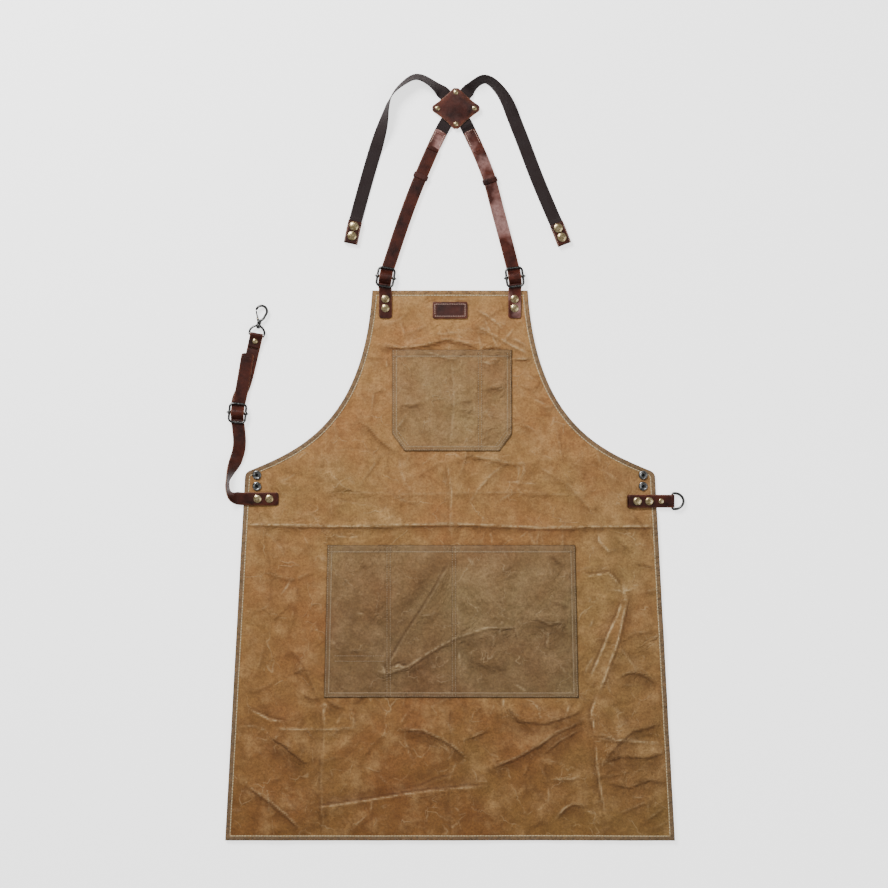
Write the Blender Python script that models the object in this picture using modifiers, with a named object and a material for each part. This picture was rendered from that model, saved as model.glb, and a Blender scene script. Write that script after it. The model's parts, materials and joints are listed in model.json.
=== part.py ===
"""Waxed-canvas butcher apron with a cross-back leather harness, laid out flat, front side up.

Every dimension below is in millimetres. The origin is on the underside of the cloth, on its centre
line and at mid-height; +Y runs to the bib and the neck, +Z up out of the cloth.
"""
from math import atan2, cos, pi, radians, sin

import bmesh
import bpy
from mathutils import Matrix, Vector

for old in list(bpy.data.objects):
    bpy.data.objects.remove(old, do_unlink=True)

MM = 0.001

# ---- driving dimensions -------------------------------------------------------------------------
GAP = 0.3                   # clearance between neighbouring pieces
CLOTH = 2.0                 # turned hem of the waxed canvas
BIB_HALF, TOP_Y = 118.0, 415.0
SIDE_HALF, SIDE_Y = 311.0, 134.0
BOTTOM_HALF, BOTTOM_Y = 341.0, -419.0
WAIST_Y = 59.0              # where the apron folds in half
FOLD_GAP = 0.3

STRAP_W, STRAP_T = 19.6, 1.8        # leather straps
BACK_T = 1.6                        # skived leather behind them
WEB_W, WEB_T = 20.0, 1.2            # webbing
BACK_Z, FRONT_Z = 2.6, 4.6          # middle of the back and the front strap layers
WEB_Z = 0.9                         # webbing lying on the table
BUCKLE_W, BUCKLE_H, BUCKLE_WIRE = 28.0, 31.0, 3.0
BUCKLE_Z = FRONT_Z + STRAP_T / 2 + GAP + BUCKLE_WIRE / 2
BAR_D = 2.4
LOOP_R = BAR_D / 2 + GAP + 0.7      # middle of the leather curled round a buckle's bar
CROWN_Z = BUCKLE_Z + LOOP_R + 0.7 + GAP + STRAP_T / 2

BIB_STRAP_X, BIB_BUCKLE_Y = 98.0, 435.0
CROSSING = (9.0, 691.0)
PATCH_HALF_X, PATCH_HALF_Y, PATCH_BLUNT, PATCH_T = 36.0, 31.0, 4.0, 1.6

apron = bpy.data.collections.new("butcher_apron")
guides = bpy.data.collections.new("butcher_apron_guides")
bpy.context.scene.collection.children.link(apron)
bpy.context.scene.collection.children.link(guides)


def material(name, colour, roughness, metallic=0.0):
    made = bpy.data.materials.new(name)
    made.use_nodes = True
    shader = made.node_tree.nodes["Principled BSDF"]
    shader.inputs["Base Color"].default_value = (*colour, 1.0)
    shader.inputs["Roughness"].default_value = roughness
    shader.inputs["Metallic"].default_value = metallic
    return made


CANVAS = material("waxed_canvas", (0.30, 0.17, 0.07), 0.75)
POCKET = material("pocket_canvas", (0.21, 0.13, 0.065), 0.8)
LEATHER = material("oiled_leather", (0.085, 0.022, 0.010), 0.4)
WEBBING = material("dark_webbing", (0.030, 0.020, 0.018), 0.85)
BRASS = material("antique_brass", (0.62, 0.50, 0.27), 0.3, 1.0)
GUNMETAL = material("gunmetal", (0.10, 0.10, 0.10), 0.3, 1.0)


def vec(x, y, z=0.0):
    return Vector((x, y, z)) * MM


def place(name, mesh, finish):
    thing = bpy.data.objects.new(name, mesh)
    apron.objects.link(thing)
    mesh.materials.clear()
    mesh.materials.append(finish)
    return thing


def to_guides(*things):
    """Cutters and pieces that have been joined into another are kept as wire guides."""
    for thing in things:
        thing.hide_render = True
        thing.display_type = "WIRE"
        if thing.name in apron.objects:
            apron.objects.unlink(thing)
            guides.objects.link(thing)


def as_mesh(curve_object):
    """Turn a curve object into a mesh object with its caps welded on."""
    graph = bpy.context.evaluated_depsgraph_get()
    mesh = bpy.data.meshes.new_from_object(curve_object.evaluated_get(graph))
    build = bmesh.new()
    build.from_mesh(mesh)
    bmesh.ops.remove_doubles(build, verts=build.verts, dist=1e-6)
    bmesh.ops.recalc_face_normals(build, faces=build.faces)
    build.to_mesh(mesh)
    build.free()
    name = curve_object.name
    matrix = curve_object.matrix_world.copy()
    bpy.data.objects.remove(curve_object, do_unlink=True)
    thing = bpy.data.objects.new(name, mesh)
    thing.matrix_world = matrix
    apron.objects.link(thing)
    return thing


def cut(thing, *cutters):
    for cutter in cutters:
        trim = thing.modifiers.new("cut_" + cutter.name, "BOOLEAN")
        trim.operation = "DIFFERENCE"
        trim.object = cutter


def join(thing, *others):
    """Union other meshes into thing, and keep them as guides."""
    to_guides(*others)
    for other in others:
        weld = thing.modifiers.new("join_" + other.name, "BOOLEAN")
        weld.operation = "UNION"
        weld.object = other


def turned(name, profile, x, y, z=0.0, steps=12, finish=BRASS):
    """A turned piece: profile is (radius, height) from the middle of its top to its bottom."""
    mesh = bpy.data.meshes.new(name)
    points = [vec(r, 0, h) for r, h in profile]
    mesh.from_pydata(points, [(i, i + 1) for i in range(len(points) - 1)], [])
    thing = place(name, mesh, finish)
    thing.location = vec(x, y, z)
    spin = thing.modifiers.new("spin", "SCREW")
    spin.steps = spin.render_steps = steps
    spin.use_merge_vertices = True
    spin.merge_threshold = 0.00001
    return thing


def hole(name, x, y, shank=1.8, recess=3.9, depth=0.9):
    """A fastener's clearance hole, with a recess for its back flange in the underside."""
    profile = [(0, 30), (shank, 30), (shank, depth), (recess, depth), (recess, -1), (0, -1)]
    cutter = turned("hole_" + name, profile, x, y)
    to_guides(cutter)
    return cutter


def dome(radius, height, base, rings=3):
    """The outline of a domed cap, from its middle to its rim."""
    angles = [pi / 2 * i / rings for i in range(rings + 1)]
    return [(radius * sin(a), base + height * (0.25 + 0.75 * cos(a))) for a in angles]


def rivet(name, x, y, top, cap=6.0, rise=1.9, flange=3.6, bottom=0.0, shank=1.5):
    """A domed cap, its shank and its back flange, as one set fastener."""
    profile = dome(cap, rise, top + GAP) + [(cap - 0.4, top + GAP), (shank, top + GAP),
                                            (shank, bottom + 0.6), (flange, bottom + 0.6),
                                            (flange, bottom), (0, bottom)]
    return turned(name, profile, x, y)


# ---- straps: a strip bent along a route --------------------------------------------------------
def smooth_route(points, spacing=5.0):
    """Plan positions about every spacing mm along a Catmull-Rom curve through points."""
    dots = [Vector(p) for p in points]
    dots = [2 * dots[0] - dots[1]] + dots + [2 * dots[-1] - dots[-2]]
    route = []
    for i in range(1, len(dots) - 2):
        a, b, c, d = dots[i - 1:i + 3]
        count = max(2, round((c - b).length / spacing))
        for k in range(count):
            t = k / count
            route.append(0.5 * (2 * b + (c - a) * t + (2 * a - 5 * b + 4 * c - d) * t * t
                                + (3 * b - a - 3 * c + d) * t ** 3))
    route.append(dots[-2])
    return route


class Plan:
    """A plan line measured along its length: at(s) gives the place and the heading there."""

    def __init__(self, points, spacing=4.0):
        self.route = smooth_route(points, spacing)
        self.marks = [0.0]
        for a, b in zip(self.route, self.route[1:]):
            self.marks.append(self.marks[-1] + (b - a).length)
        self.length = self.marks[-1]
        self.held = None

    def hold(self, s, half):
        """Keep the line straight for half on either side of s, as a buckle does."""
        self.held = (s, half, *self.at(s))

    def at(self, s):
        if self.held and abs(s - self.held[0]) <= self.held[1]:
            return self.held[2] + self.held[3] * (s - self.held[0]), self.held[3]
        inside = min(max(s, 0.0), self.length)
        i = max(k for k in range(len(self.marks) - 1) if self.marks[k] <= inside + 1e-9)
        a, b = self.route[i], self.route[i + 1]
        ahead = (self.route[min(i + 2, len(self.route) - 1)] - a).normalized()
        behind = (b - self.route[max(i - 1, 0)]).normalized()
        share = (inside - self.marks[i]) / (self.marks[i + 1] - self.marks[i])
        heading = behind.lerp(ahead, share).normalized()
        return a.lerp(b, share) + heading * (s - inside), heading

    def nearest(self, x, y):
        target = Vector((x, y))
        return min(range(int(self.length)), key=lambda s: (self.at(s)[0] - target).length)


def ribbon(name, plan, stations, width, thickness, finish):
    """A strap as a thin grid whose rows follow stations, each (s, z), (s, z, roll) or
    (s, z, roll, share of the width), thickened on both sides."""
    rows = len(stations) - 1
    build = bmesh.new()
    bmesh.ops.create_grid(build, x_segments=rows, y_segments=1, size=1.0)
    for vert in build.verts:
        row = round((vert.co.x + 1) / 2 * rows)
        s, z, *more = stations[row]
        roll = radians(more[0]) if more else 0.0
        share = more[1] if len(more) > 1 else 1.0
        spot, heading = plan.at(s)
        side = Vector((-heading.y, heading.x, 0)) * cos(roll) + Vector((0, 0, sin(roll)))
        lift = width / 2 * abs(sin(roll))
        vert.co = (Vector((spot.x, spot.y, z + lift)) + side * vert.co.y * share * width / 2) * MM
    mesh = bpy.data.meshes.new(name)
    build.to_mesh(mesh)
    build.free()
    thing = place(name, mesh, finish)
    shell = thing.modifiers.new("thickness", "SOLIDIFY")
    shell.thickness = thickness * MM
    shell.offset = 0.0
    shell.use_even_offset = True
    return thing


def spread(start, end, spacing=14.0):
    """Even steps from start to end, both included."""
    count = max(1, round(abs(end - start) / spacing))
    return [start + (end - start) * i / count for i in range(count + 1)]


def over_bar(s0):
    """A front strap's wave: under the buckle's lower side, over its bar, under its upper side."""
    low = [(-10.4, FRONT_Z), (-9.2, FRONT_Z + 0.5), (-3.6, CROWN_Z - 1.0)]
    wave = low + [(-2.2, CROWN_Z), (2.2, CROWN_Z)] + [(-s, z) for s, z in reversed(low)]
    return [(s0 + s, z) for s, z in wave]


def curl(s0):
    """A back strap's end, rising to a buckle's bar at s0 and curled round it, from its free tip."""
    around = [(s0 + LOOP_R * cos(a), BUCKLE_Z + LOOP_R * sin(a))
              for a in [radians(6 + 33 * i) for i in range(9)]]
    return around + [(s0 + 6.0, BACK_Z + 0.6), (s0 + 8.5, BACK_Z)]


# ---- the cloth ----------------------------------------------------------------------------------
def side_x(y):
    """Half width of the apron at a height below its side corners."""
    return SIDE_HALF + (BOTTOM_HALF - SIDE_HALF) * (SIDE_Y - y) / (SIDE_Y - BOTTOM_Y)


def outline(name, corners, thickness, z, finish, rounds=()):
    """A flat piece with straight edges between corners, except where rounds bends one:
    each is (corner, next corner, handle of the first, handle of the second)."""
    data = bpy.data.curves.new(name, "CURVE")
    data.dimensions = "2D"
    data.fill_mode = "BOTH"
    data.extrude = thickness / 2 * MM
    data.resolution_u = 14
    spline = data.splines.new("BEZIER")
    spline.bezier_points.add(len(corners) - 1)
    knots = spline.bezier_points
    for knot, corner in zip(knots, corners):
        knot.handle_left_type = knot.handle_right_type = "VECTOR"
        knot.co = vec(*corner)
    for first, second, leaving, arriving in rounds:
        knots[first].handle_right_type = knots[second].handle_left_type = "FREE"
        knots[first].handle_right = vec(*leaving)
        knots[second].handle_left = vec(*arriving)
    spline.use_cyclic_u = True
    made = bpy.data.objects.new(name, data)
    made.location.z = (z + thickness / 2) * MM
    apron.objects.link(made)
    bpy.context.view_layer.update()
    made = as_mesh(made)
    made.data.materials.append(finish)
    return made


def make_cloth():
    """The bib down to the waist, with its two armholes, and the skirt below it."""
    waist = side_x(WAIST_Y)
    corner = (308.0, 140.0)
    neck_handle, side_handle = (130.6, 205.4), (238.9, 169.0)
    corners = [(BIB_HALF, TOP_Y), (-BIB_HALF, TOP_Y), (-corner[0], corner[1]), (-SIDE_HALF, SIDE_Y),
               (-waist, WAIST_Y + FOLD_GAP / 2), (waist, WAIST_Y + FOLD_GAP / 2),
               (SIDE_HALF, SIDE_Y), corner]
    left = (1, 2, (-neck_handle[0], neck_handle[1]), (-side_handle[0], side_handle[1]))
    right = (7, 0, side_handle, neck_handle)
    bib = outline("canvas_bib", corners, CLOTH, 0, CANVAS, [left, right])
    hem = [(waist, WAIST_Y - FOLD_GAP / 2), (-waist, WAIST_Y - FOLD_GAP / 2),
           (-BOTTOM_HALF, BOTTOM_Y), (BOTTOM_HALF, BOTTOM_Y)]
    return bib, outline("canvas_skirt", hem, CLOTH, 0, CANVAS)


def pocket(name, left, right, top, bottom, dividers, slack, chamfer=0.0, flare=0.0):
    """A patch pocket: a thin sheet that lies on the cloth at its seams and stands open between them
    at its mouth. dividers are the x of its sewn divisions."""
    seams = [left, *dividers, right]
    hem = 5.0
    columns = []
    for a, b in zip(seams, seams[1:]):
        inner = [a + hem + (b - a - 2 * hem) * i / 6 for i in range(7)]
        columns += [(x, slack * sin(pi * i / 6) ** 0.7 if 0 < i < 6 else 0.0)
                    for i, x in enumerate(inner)]
    columns = [(left, 0.0), *columns, (right, 0.0)]
    rows = 5
    build = bmesh.new()
    bmesh.ops.create_grid(build, x_segments=len(columns) - 1, y_segments=rows, size=1.0)
    for vert in build.verts:
        x, rise = columns[round((vert.co.x + 1) / 2 * (len(columns) - 1))]
        up = (vert.co.y + 1) / 2
        shape = min(1.0, sin(pi / 2 * min(1.0, up * 1.25)))
        x += flare * (1 - up) * (2 * (x - left) / (right - left) - 1)
        vert.co = vec(x, bottom + (top - bottom) * up, CLOTH + GAP + 0.5 + rise * shape)
    for side in (-1, 1):
        if chamfer:
            edge = right if side > 0 else left
            bmesh.ops.bisect_plane(build, geom=build.verts[:] + build.edges[:] + build.faces[:],
                                   plane_co=vec(edge - side * chamfer, bottom),
                                   plane_no=(side * 26.0, -19.0, 0), clear_outer=True)
    mesh = bpy.data.meshes.new(name)
    build.to_mesh(mesh)
    build.free()
    thing = place(name, mesh, POCKET)
    shell = thing.modifiers.new("thickness", "SOLIDIFY")
    shell.thickness = MM
    shell.offset = 0.0
    return thing


def make_label():
    bpy.ops.mesh.primitive_cube_add(size=1, location=vec(0, 385.2, CLOTH + GAP + 0.8))
    label = bpy.context.object
    label.name = "label_patch"
    label.data.transform(Matrix.Diagonal((53 * MM, 25.5 * MM, 1.6 * MM, 1)))
    for old in label.users_collection:
        old.objects.unlink(label)
    apron.objects.link(label)
    label.data.materials.append(LEATHER)
    round_off = label.modifiers.new("rounded_corners", "BEVEL")
    round_off.width = 2.5 * MM
    round_off.segments = 4
    round_off.limit_method = "WEIGHT"
    weights = label.data.attributes.new("bevel_weight_edge", "FLOAT", "EDGE")
    for edge in label.data.edges:
        a, b = (label.data.vertices[i].co for i in edge.vertices)
        weights.data[edge.index].value = 1.0 if abs(a.z - b.z) > 0.001 else 0.0


# ---- metalware ----------------------------------------------------------------------------------
def wire(name, points, diameter, finish, closed=False, sides=2):
    """A bent wire through local points, laid flat in its own frame."""
    data = bpy.data.curves.new(name, "CURVE")
    data.dimensions = "3D"
    data.bevel_depth = diameter / 2 * MM
    data.bevel_resolution = sides
    data.use_fill_caps = True
    spline = data.splines.new("POLY")
    spline.points.add(len(points) - 1)
    for knot, point in zip(spline.points, points):
        knot.co = (*vec(*point), 1.0)
    spline.use_cyclic_u = closed
    made = bpy.data.objects.new(name, data)
    apron.objects.link(made)
    bpy.context.view_layer.update()
    made = as_mesh(made)
    made.data.materials.append(finish)
    return made


def rod(name, start, end, diameter, finish=GUNMETAL, segments=14):
    """A straight round bar between two local points."""
    a, b = vec(*start), vec(*end)
    build = bmesh.new()
    bmesh.ops.create_cone(build, cap_ends=True, segments=segments, radius1=diameter / 2 * MM,
                          radius2=diameter / 2 * MM, depth=(b - a).length)
    turn = Vector((0, 0, 1)).rotation_difference(b - a).to_matrix().to_4x4()
    build.transform(Matrix.Translation((a + b) / 2) @ turn)
    mesh = bpy.data.meshes.new(name)
    build.to_mesh(mesh)
    build.free()
    return place(name, mesh, finish)


def rounded_rectangle(width, height, radius, steps=3):
    """Corner points of a rounded rectangle, counterclockwise."""
    points = []
    for k, (sx, sy) in enumerate(((1, 1), (-1, 1), (-1, -1), (1, -1))):
        for i in range(steps + 1):
            a = pi / 2 * (k + i / steps)
            points.append((sx * (width / 2 - radius) + radius * cos(a),
                           sy * (height / 2 - radius) + radius * sin(a), 0))
    return points


def buckle(name, x, y, tilt=0.0):
    """A slide buckle: its bent frame, and its bar with a sleeve round each side of the frame."""
    centre_w, centre_h = BUCKLE_W - BUCKLE_WIRE, BUCKLE_H - BUCKLE_WIRE
    frame = wire(name, rounded_rectangle(centre_w, centre_h, 5.0), BUCKLE_WIRE, GUNMETAL, True)
    bar = rod(name + "_bar", (-centre_w / 2, 0, 0), (centre_w / 2, 0, 0), BAR_D)
    for side in (-1, 1):
        rail = side * centre_w / 2
        tag = "_left" if side < 0 else "_right"
        knob = rod(name + "_knob" + tag, (rail, 0, 0), (rail + side * 4.0, 0, 0), BAR_D + 0.2)
        sleeve = rod(name + "_sleeve" + tag, (rail, -2.5, 0), (rail, 2.5, 0), 4.8)
        bore = rod(name + "_bore" + tag, (rail, -4, 0), (rail, 4, 0), BUCKLE_WIRE + 2 * GAP)
        join(bar, knob, sleeve)
        for thing in (knob, sleeve, bore):
            thing.location = vec(x, y, BUCKLE_Z)
            thing.rotation_euler.z = radians(tilt)
        to_guides(bore)
    bores = [guides.objects[name + "_bore_left"], guides.objects[name + "_bore_right"]]
    cut(bar, *bores)
    for thing in (frame, bar):
        thing.location = vec(x, y, BUCKLE_Z)
        thing.rotation_euler.z = radians(tilt)


# ---- harness ------------------------------------------------------------------------------------
FOLD_Y = 418.5              # where the bib's leather starts to bend
ANCHOR_Y = 373.0            # lower end of the bib's leather
ANCHOR_Z = CLOTH + GAP + STRAP_T / 2
CAP_YS = (402.0, 388.0)

SHOULDER_PLANS = {
    "left": [(-98, 372), (-98, 410), (-97.5, 435), (-87, 470), (-65.3, 534), (-42.5, 592), (-14, 655),
             (9, 691), (27, 717), (54, 734.5), (82, 709), (105, 656), (133, 583), (163, 512), (174, 484)],
    "right": [(98, 372), (98, 410), (98, 435), (90, 470), (73, 534), (57, 592), (30, 655),
              (9, 691), (-13, 717), (-47, 738), (-72, 727), (-91, 704), (-103, 662), (-123, 595),
              (-143, 522), (-151, 485)],
}
FREE_END_Y, SEWN_END_Y = 632.0, 657.0      # upper ends of the front and the back leather
KEEPER_SPOTS = {"left": (-42.5, 587.5), "right": (62.0, 582.0)}
WEB_ROLLS = {
    # distance past the crossing -> how far the webbing stands on its edge, in degrees
    "left": [(0, 0), (24, 0), (44, 52), (70, 58), (100, 40), (140, 0)],
    "right": [(0, 0), (24, 0), (50, 50), (80, 55), (104, 68), (128, 84), (150, 66), (176, 34), (212, 0)],
}
CROSSING_Z = {"left": 2.7, "right": 4.2}
TIP_LENGTH = 34.0
TIP_Z = 3.7                 # webbing inside its leather tip


def between(table, s):
    """Straight-line reading of a short table of (place, value)."""
    if s <= table[0][0]:
        return table[0][1]
    for (a, low), (b, high) in zip(table, table[1:]):
        if s <= b:
            return low + (high - low) * (s - a) / (b - a)
    return table[-1][1]


def rounded_tip(s, z):
    """Three last stations that round off a strap's end at s."""
    return [(s - 5.0, z, 0, 1.0), (s - 1.6, z, 0, 0.86), (s, z, 0, 0.5)]


def make_shoulder(side):
    plan = Plan(SHOULDER_PLANS[side])
    x = -BIB_STRAP_X if side == "left" else BIB_STRAP_X
    fold = plan.nearest(x, FOLD_Y)
    buckle_s = plan.nearest(x, BIB_BUCKLE_Y)
    plan.hold(buckle_s, 15.0)
    spot, heading = plan.at(buckle_s)
    tilt = atan2(-heading.x, heading.y) * 180 / pi
    free = next(s for s in range(int(plan.length)) if plan.at(s)[0].y > FREE_END_Y)
    cross = plan.nearest(*CROSSING)

    holes = [hole(f"bib_{side}_{k}", x, y) for k, y in enumerate(CAP_YS)]
    start = plan.nearest(x, ANCHOR_Y)
    anchor_ends = [(start, ANCHOR_Z, 0, 0.8), (start + 2, ANCHOR_Z), (fold - 10, ANCHOR_Z)]
    anchor = ribbon(f"bib_strap_end_{side}", plan,
                    anchor_ends + [(fold - 4, ANCHOR_Z + 0.5), (fold - 0.2, FRONT_Z)],
                    STRAP_W, STRAP_T, LEATHER)
    cut(anchor, *holes)
    for y, tag in zip(CAP_YS, ("upper", "lower")):
        rivet(f"bib_cap_{side}_{tag}", x, y, ANCHOR_Z + STRAP_T / 2)

    stations = [(fold + 0.2, FRONT_Z), *over_bar(buckle_s)]
    stations += [(s, FRONT_Z) for s in spread(buckle_s + 13, free - 7)]
    stations += rounded_tip(free, FRONT_Z)
    ribbon(f"shoulder_strap_{side}", plan, stations, STRAP_W, STRAP_T, LEATHER)

    sewn_end = next(s for s in range(int(plan.length)) if plan.at(s)[0].y > SEWN_END_Y)
    back = curl(buckle_s) + [(s, BACK_Z) for s in spread(buckle_s + 13, sewn_end - 7)]
    back += rounded_tip(sewn_end, BACK_Z)
    ribbon(f"back_strap_{side}", plan, back, STRAP_W, BACK_T, LEATHER)
    buckle(f"slide_buckle_{side}", spot.x, spot.y, tilt)

    tip = int(plan.length) - 1.0
    web = [(free + 4, WEB_Z), (cross - 38.5, WEB_Z)]
    web += [(s, CROSSING_Z[side]) for s in spread(cross - 31.5, cross + 32, 9.0)]
    for s in spread(cross + 38, tip - 46, 10.0):
        web.append((s, WEB_Z, between(WEB_ROLLS[side], s - cross)))
    web += [(tip - 40, WEB_Z + 0.8), (tip - TIP_LENGTH - 1, TIP_Z), (tip - 3.5, TIP_Z)]
    webbing = ribbon(f"webbing_{side}", plan, web, WEB_W, WEB_T, WEBBING)

    low, high = TIP_Z - 1.6, TIP_Z + 1.6
    turn = [(tip - 1.8 + 1.6 * sin(a), TIP_Z - 1.6 * cos(a))
            for a in [pi * i / 6 for i in range(7)]]
    leather = ribbon(f"strap_tip_{side}", plan, [(tip - TIP_LENGTH, low), *turn,
                                                 (tip - TIP_LENGTH, high)], 21.0, 1.4, LEATHER)
    for tag, back_off in (("upper", 26.0), ("lower", 11.0)):
        at, _ = plan.at(tip - back_off)
        cutter = hole(f"tip_{side}_{tag}", at.x, at.y, recess=2.2, depth=1.3)
        cut(webbing, cutter)
        cut(leather, cutter)
        rivet(f"tip_cap_{side}_{tag}", at.x, at.y, high + 0.7, cap=6.8, rise=2.0, flange=4.5)
    make_keeper(side, plan, KEEPER_SPOTS[side])


def make_keeper(side, plan, spot):
    """A sewn leather loop round both straps: a squashed tube."""
    at, heading = plan.at(plan.nearest(*spot))
    inner_w, low, high = STRAP_W + 1.0, BACK_Z - BACK_T / 2 - GAP, FRONT_Z + STRAP_T / 2 + GAP
    middle = (low + high) / 2
    bodies = []
    for tag, grow, depth in (("", 1.2, 8.0), ("_inside", 0.0, 12.0)):
        build = bmesh.new()
        bmesh.ops.create_cube(build, size=1.0)
        build.transform(Matrix.Diagonal(((inner_w + 2 * grow) * MM, depth * MM,
                                         (high - low + 2 * grow) * MM, 1)))
        mesh = bpy.data.meshes.new(f"keeper_{side}{tag}")
        build.to_mesh(mesh)
        build.free()
        thing = place(f"keeper_{side}{tag}", mesh, LEATHER)
        thing.location = vec(at.x, at.y, middle)
        thing.rotation_euler.z = atan2(-heading.x, heading.y)
        bodies.append(thing)
    to_guides(bodies[1])
    cut(bodies[0], bodies[1])


def make_patch():
    """Two leather diamonds with the crossing webbing between them, riveted at their corners."""
    cx, cy = CROSSING
    points = []
    for x, y in ((1, 0), (0, 1), (-1, 0), (0, -1)):
        for turn in (-1, 1):
            along_x = x * PATCH_HALF_X - y * turn * PATCH_BLUNT
            along_y = y * PATCH_HALF_Y + x * turn * PATCH_BLUNT
            points.append((cx + along_x, cy + along_y))
    back = outline("cross_patch_back", points, PATCH_T, 0.2, LEATHER)
    front_z = CROSSING_Z["right"] + WEB_T / 2 + GAP
    front = outline("cross_patch_front", points, PATCH_T, front_z, LEATHER)
    for tag, x, y in (("left", -28, 0), ("right", 28, 0), ("upper", 0, 24), ("lower", 0, -24)):
        cutter = hole("patch_" + tag, cx + x, cy + y, shank=1.3, recess=2.6, depth=1.0)
        cut(back, cutter)
        cut(front, cutter)
        rivet("patch_rivet_" + tag, cx + x, cy + y, front_z + PATCH_T, cap=3.6, rise=1.4,
              flange=2.2, bottom=0.1, shank=1.0)


# ---- hips ---------------------------------------------------------------------------------------
STUD_X, STUD_YS = 293.0, (135.0, 118.0)
HIP_FOLD_X = -318.0
HIP_CAP_XS = (-274.0, -292.0)
HIP_Y = 99.0
HIP_PLAN = [(-260, HIP_Y), (-300, HIP_Y), (-322, 100), (-334, 107), (-337, 122), (-332, 140),
            (-324, 160), (-319, 184), (-322, 229), (-316, 262), (-306, 320)]
HIP_BUCKLE = (-322.0, 229.0)
HOOK_LEAN = 12.0            # degrees that the hook's strap leans to the right of the bib's axis
HOOK_PLAN = [(-310, 278), (-295.5, 338), (-293.2, 349)]
EYE = (-293.4, 347.0)
TAB_Y, TAB_END_X, RING_X = 95.5, 270.0, 337.0
HOOK_WIRE, RING_WIRE = 2.8, 3.2


def make_hip_studs(bib):
    for side, sign in (("left", -1), ("right", 1)):
        for tag, y in zip(("upper", "lower"), STUD_YS):
            x = sign * STUD_X
            cut(bib, hole(f"stud_{side}_{tag}", x, y, shank=1.6, recess=6.0, depth=0.9))
            top = CLOTH + GAP
            profile = [(0, top + 2.4), (2.0, top + 2.4), (2.4, top + 1.9), (2.2, top + 0.7),
                       (4.2, top + 0.7), (4.8, top + 1.2), (6.2, top + 1.1), (6.8, top),
                       (1.3, top), (1.3, 0.6), (5.6, 0.6), (5.6, 0), (0, 0)]
            turned(f"hip_stud_{side}_{tag}", profile, x, y, finish=GUNMETAL)


def make_waist_strap(bib):
    plan = Plan(HIP_PLAN)
    fold = plan.nearest(HIP_FOLD_X, 100.5)
    buckle_s = plan.nearest(*HIP_BUCKLE)
    plan.hold(buckle_s, 15.0)
    anchor = ribbon("waist_strap_end", plan, [(0, ANCHOR_Z, 0, 0.8), (2, ANCHOR_Z), (fold - 5, ANCHOR_Z),
                                              (fold - 0.2, ANCHOR_Z)], STRAP_W, STRAP_T, LEATHER)
    for tag, x in zip(("inner", "outer"), HIP_CAP_XS):
        cutter = hole("waist_" + tag, x, HIP_Y)
        cut(bib, cutter)
        cut(anchor, cutter)
        rivet("waist_cap_" + tag, x, HIP_Y, ANCHOR_Z + STRAP_T / 2)
    rolls = [(fold + 3, 0), (fold + 8, 25), (fold + 20, 78), (fold + 40, 80), (fold + 56, 50), (fold + 76, 0)]
    heights = [(fold, ANCHOR_Z), (fold + 22, 1.2), (fold + 60, 1.4), (fold + 96, FRONT_Z)]
    stations = [(s, between(heights, s), between(rolls, s))
                for s in spread(fold + 4.0, buckle_s - 14, 7.0)]
    stations = [(fold + 0.4, ANCHOR_Z), *stations]
    end = plan.length - 0.5
    stations += over_bar(buckle_s) + [(s, FRONT_Z) for s in spread(buckle_s + 13, end - 7)]
    stations += rounded_tip(end, FRONT_Z)
    ribbon("waist_strap", plan, stations, STRAP_W, STRAP_T, LEATHER)
    spot, heading = plan.at(buckle_s)
    tilt = atan2(-heading.x, heading.y) * 180 / pi
    buckle("waist_buckle", spot.x, spot.y, tilt)
    return spot, heading


def make_hook_strap(spot, heading):
    """Curled round the buckle's bar below and round the hook's eye above."""
    plan = Plan([spot - 20 * heading, spot, spot + 20 * heading, *HOOK_PLAN])
    buckle_s = min(range(200, 240), key=lambda s: (plan.at(s / 10)[0] - spot).length) / 10
    plan.held = (buckle_s, 15.0, spot, heading)
    eye_s = plan.nearest(*EYE)
    back_z = 2.0
    eye_r = 2.8
    eye_z = back_z + eye_r
    turn = [(eye_s + eye_r * sin(a), eye_z - eye_r * cos(a)) for a in [pi * i / 7 for i in range(8)]]
    fold_back = [(eye_s - 6, eye_z - 0.2), (eye_s - 18, eye_z - 0.8), (eye_s - 19.5, eye_z - 0.8)]
    stations = curl(buckle_s) + [(s, BACK_Z) for s in spread(buckle_s + 13, eye_s - 26)]
    stations += [(eye_s - 20, back_z), (eye_s - 5, back_z), *turn, *fold_back]
    strap = ribbon("hook_strap", plan, stations, STRAP_W, BACK_T, LEATHER)
    through, _ = plan.at(eye_s - 9.5)
    cut(strap, hole("hook_strap", through.x, through.y, shank=1.5, recess=2.9, depth=1.9))
    rivet("hook_strap_rivet", through.x, through.y, eye_z - 0.3 + BACK_T / 2, cap=3.8, rise=1.4,
          flange=2.4, bottom=0.6, shank=1.0)
    return eye_z


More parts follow.
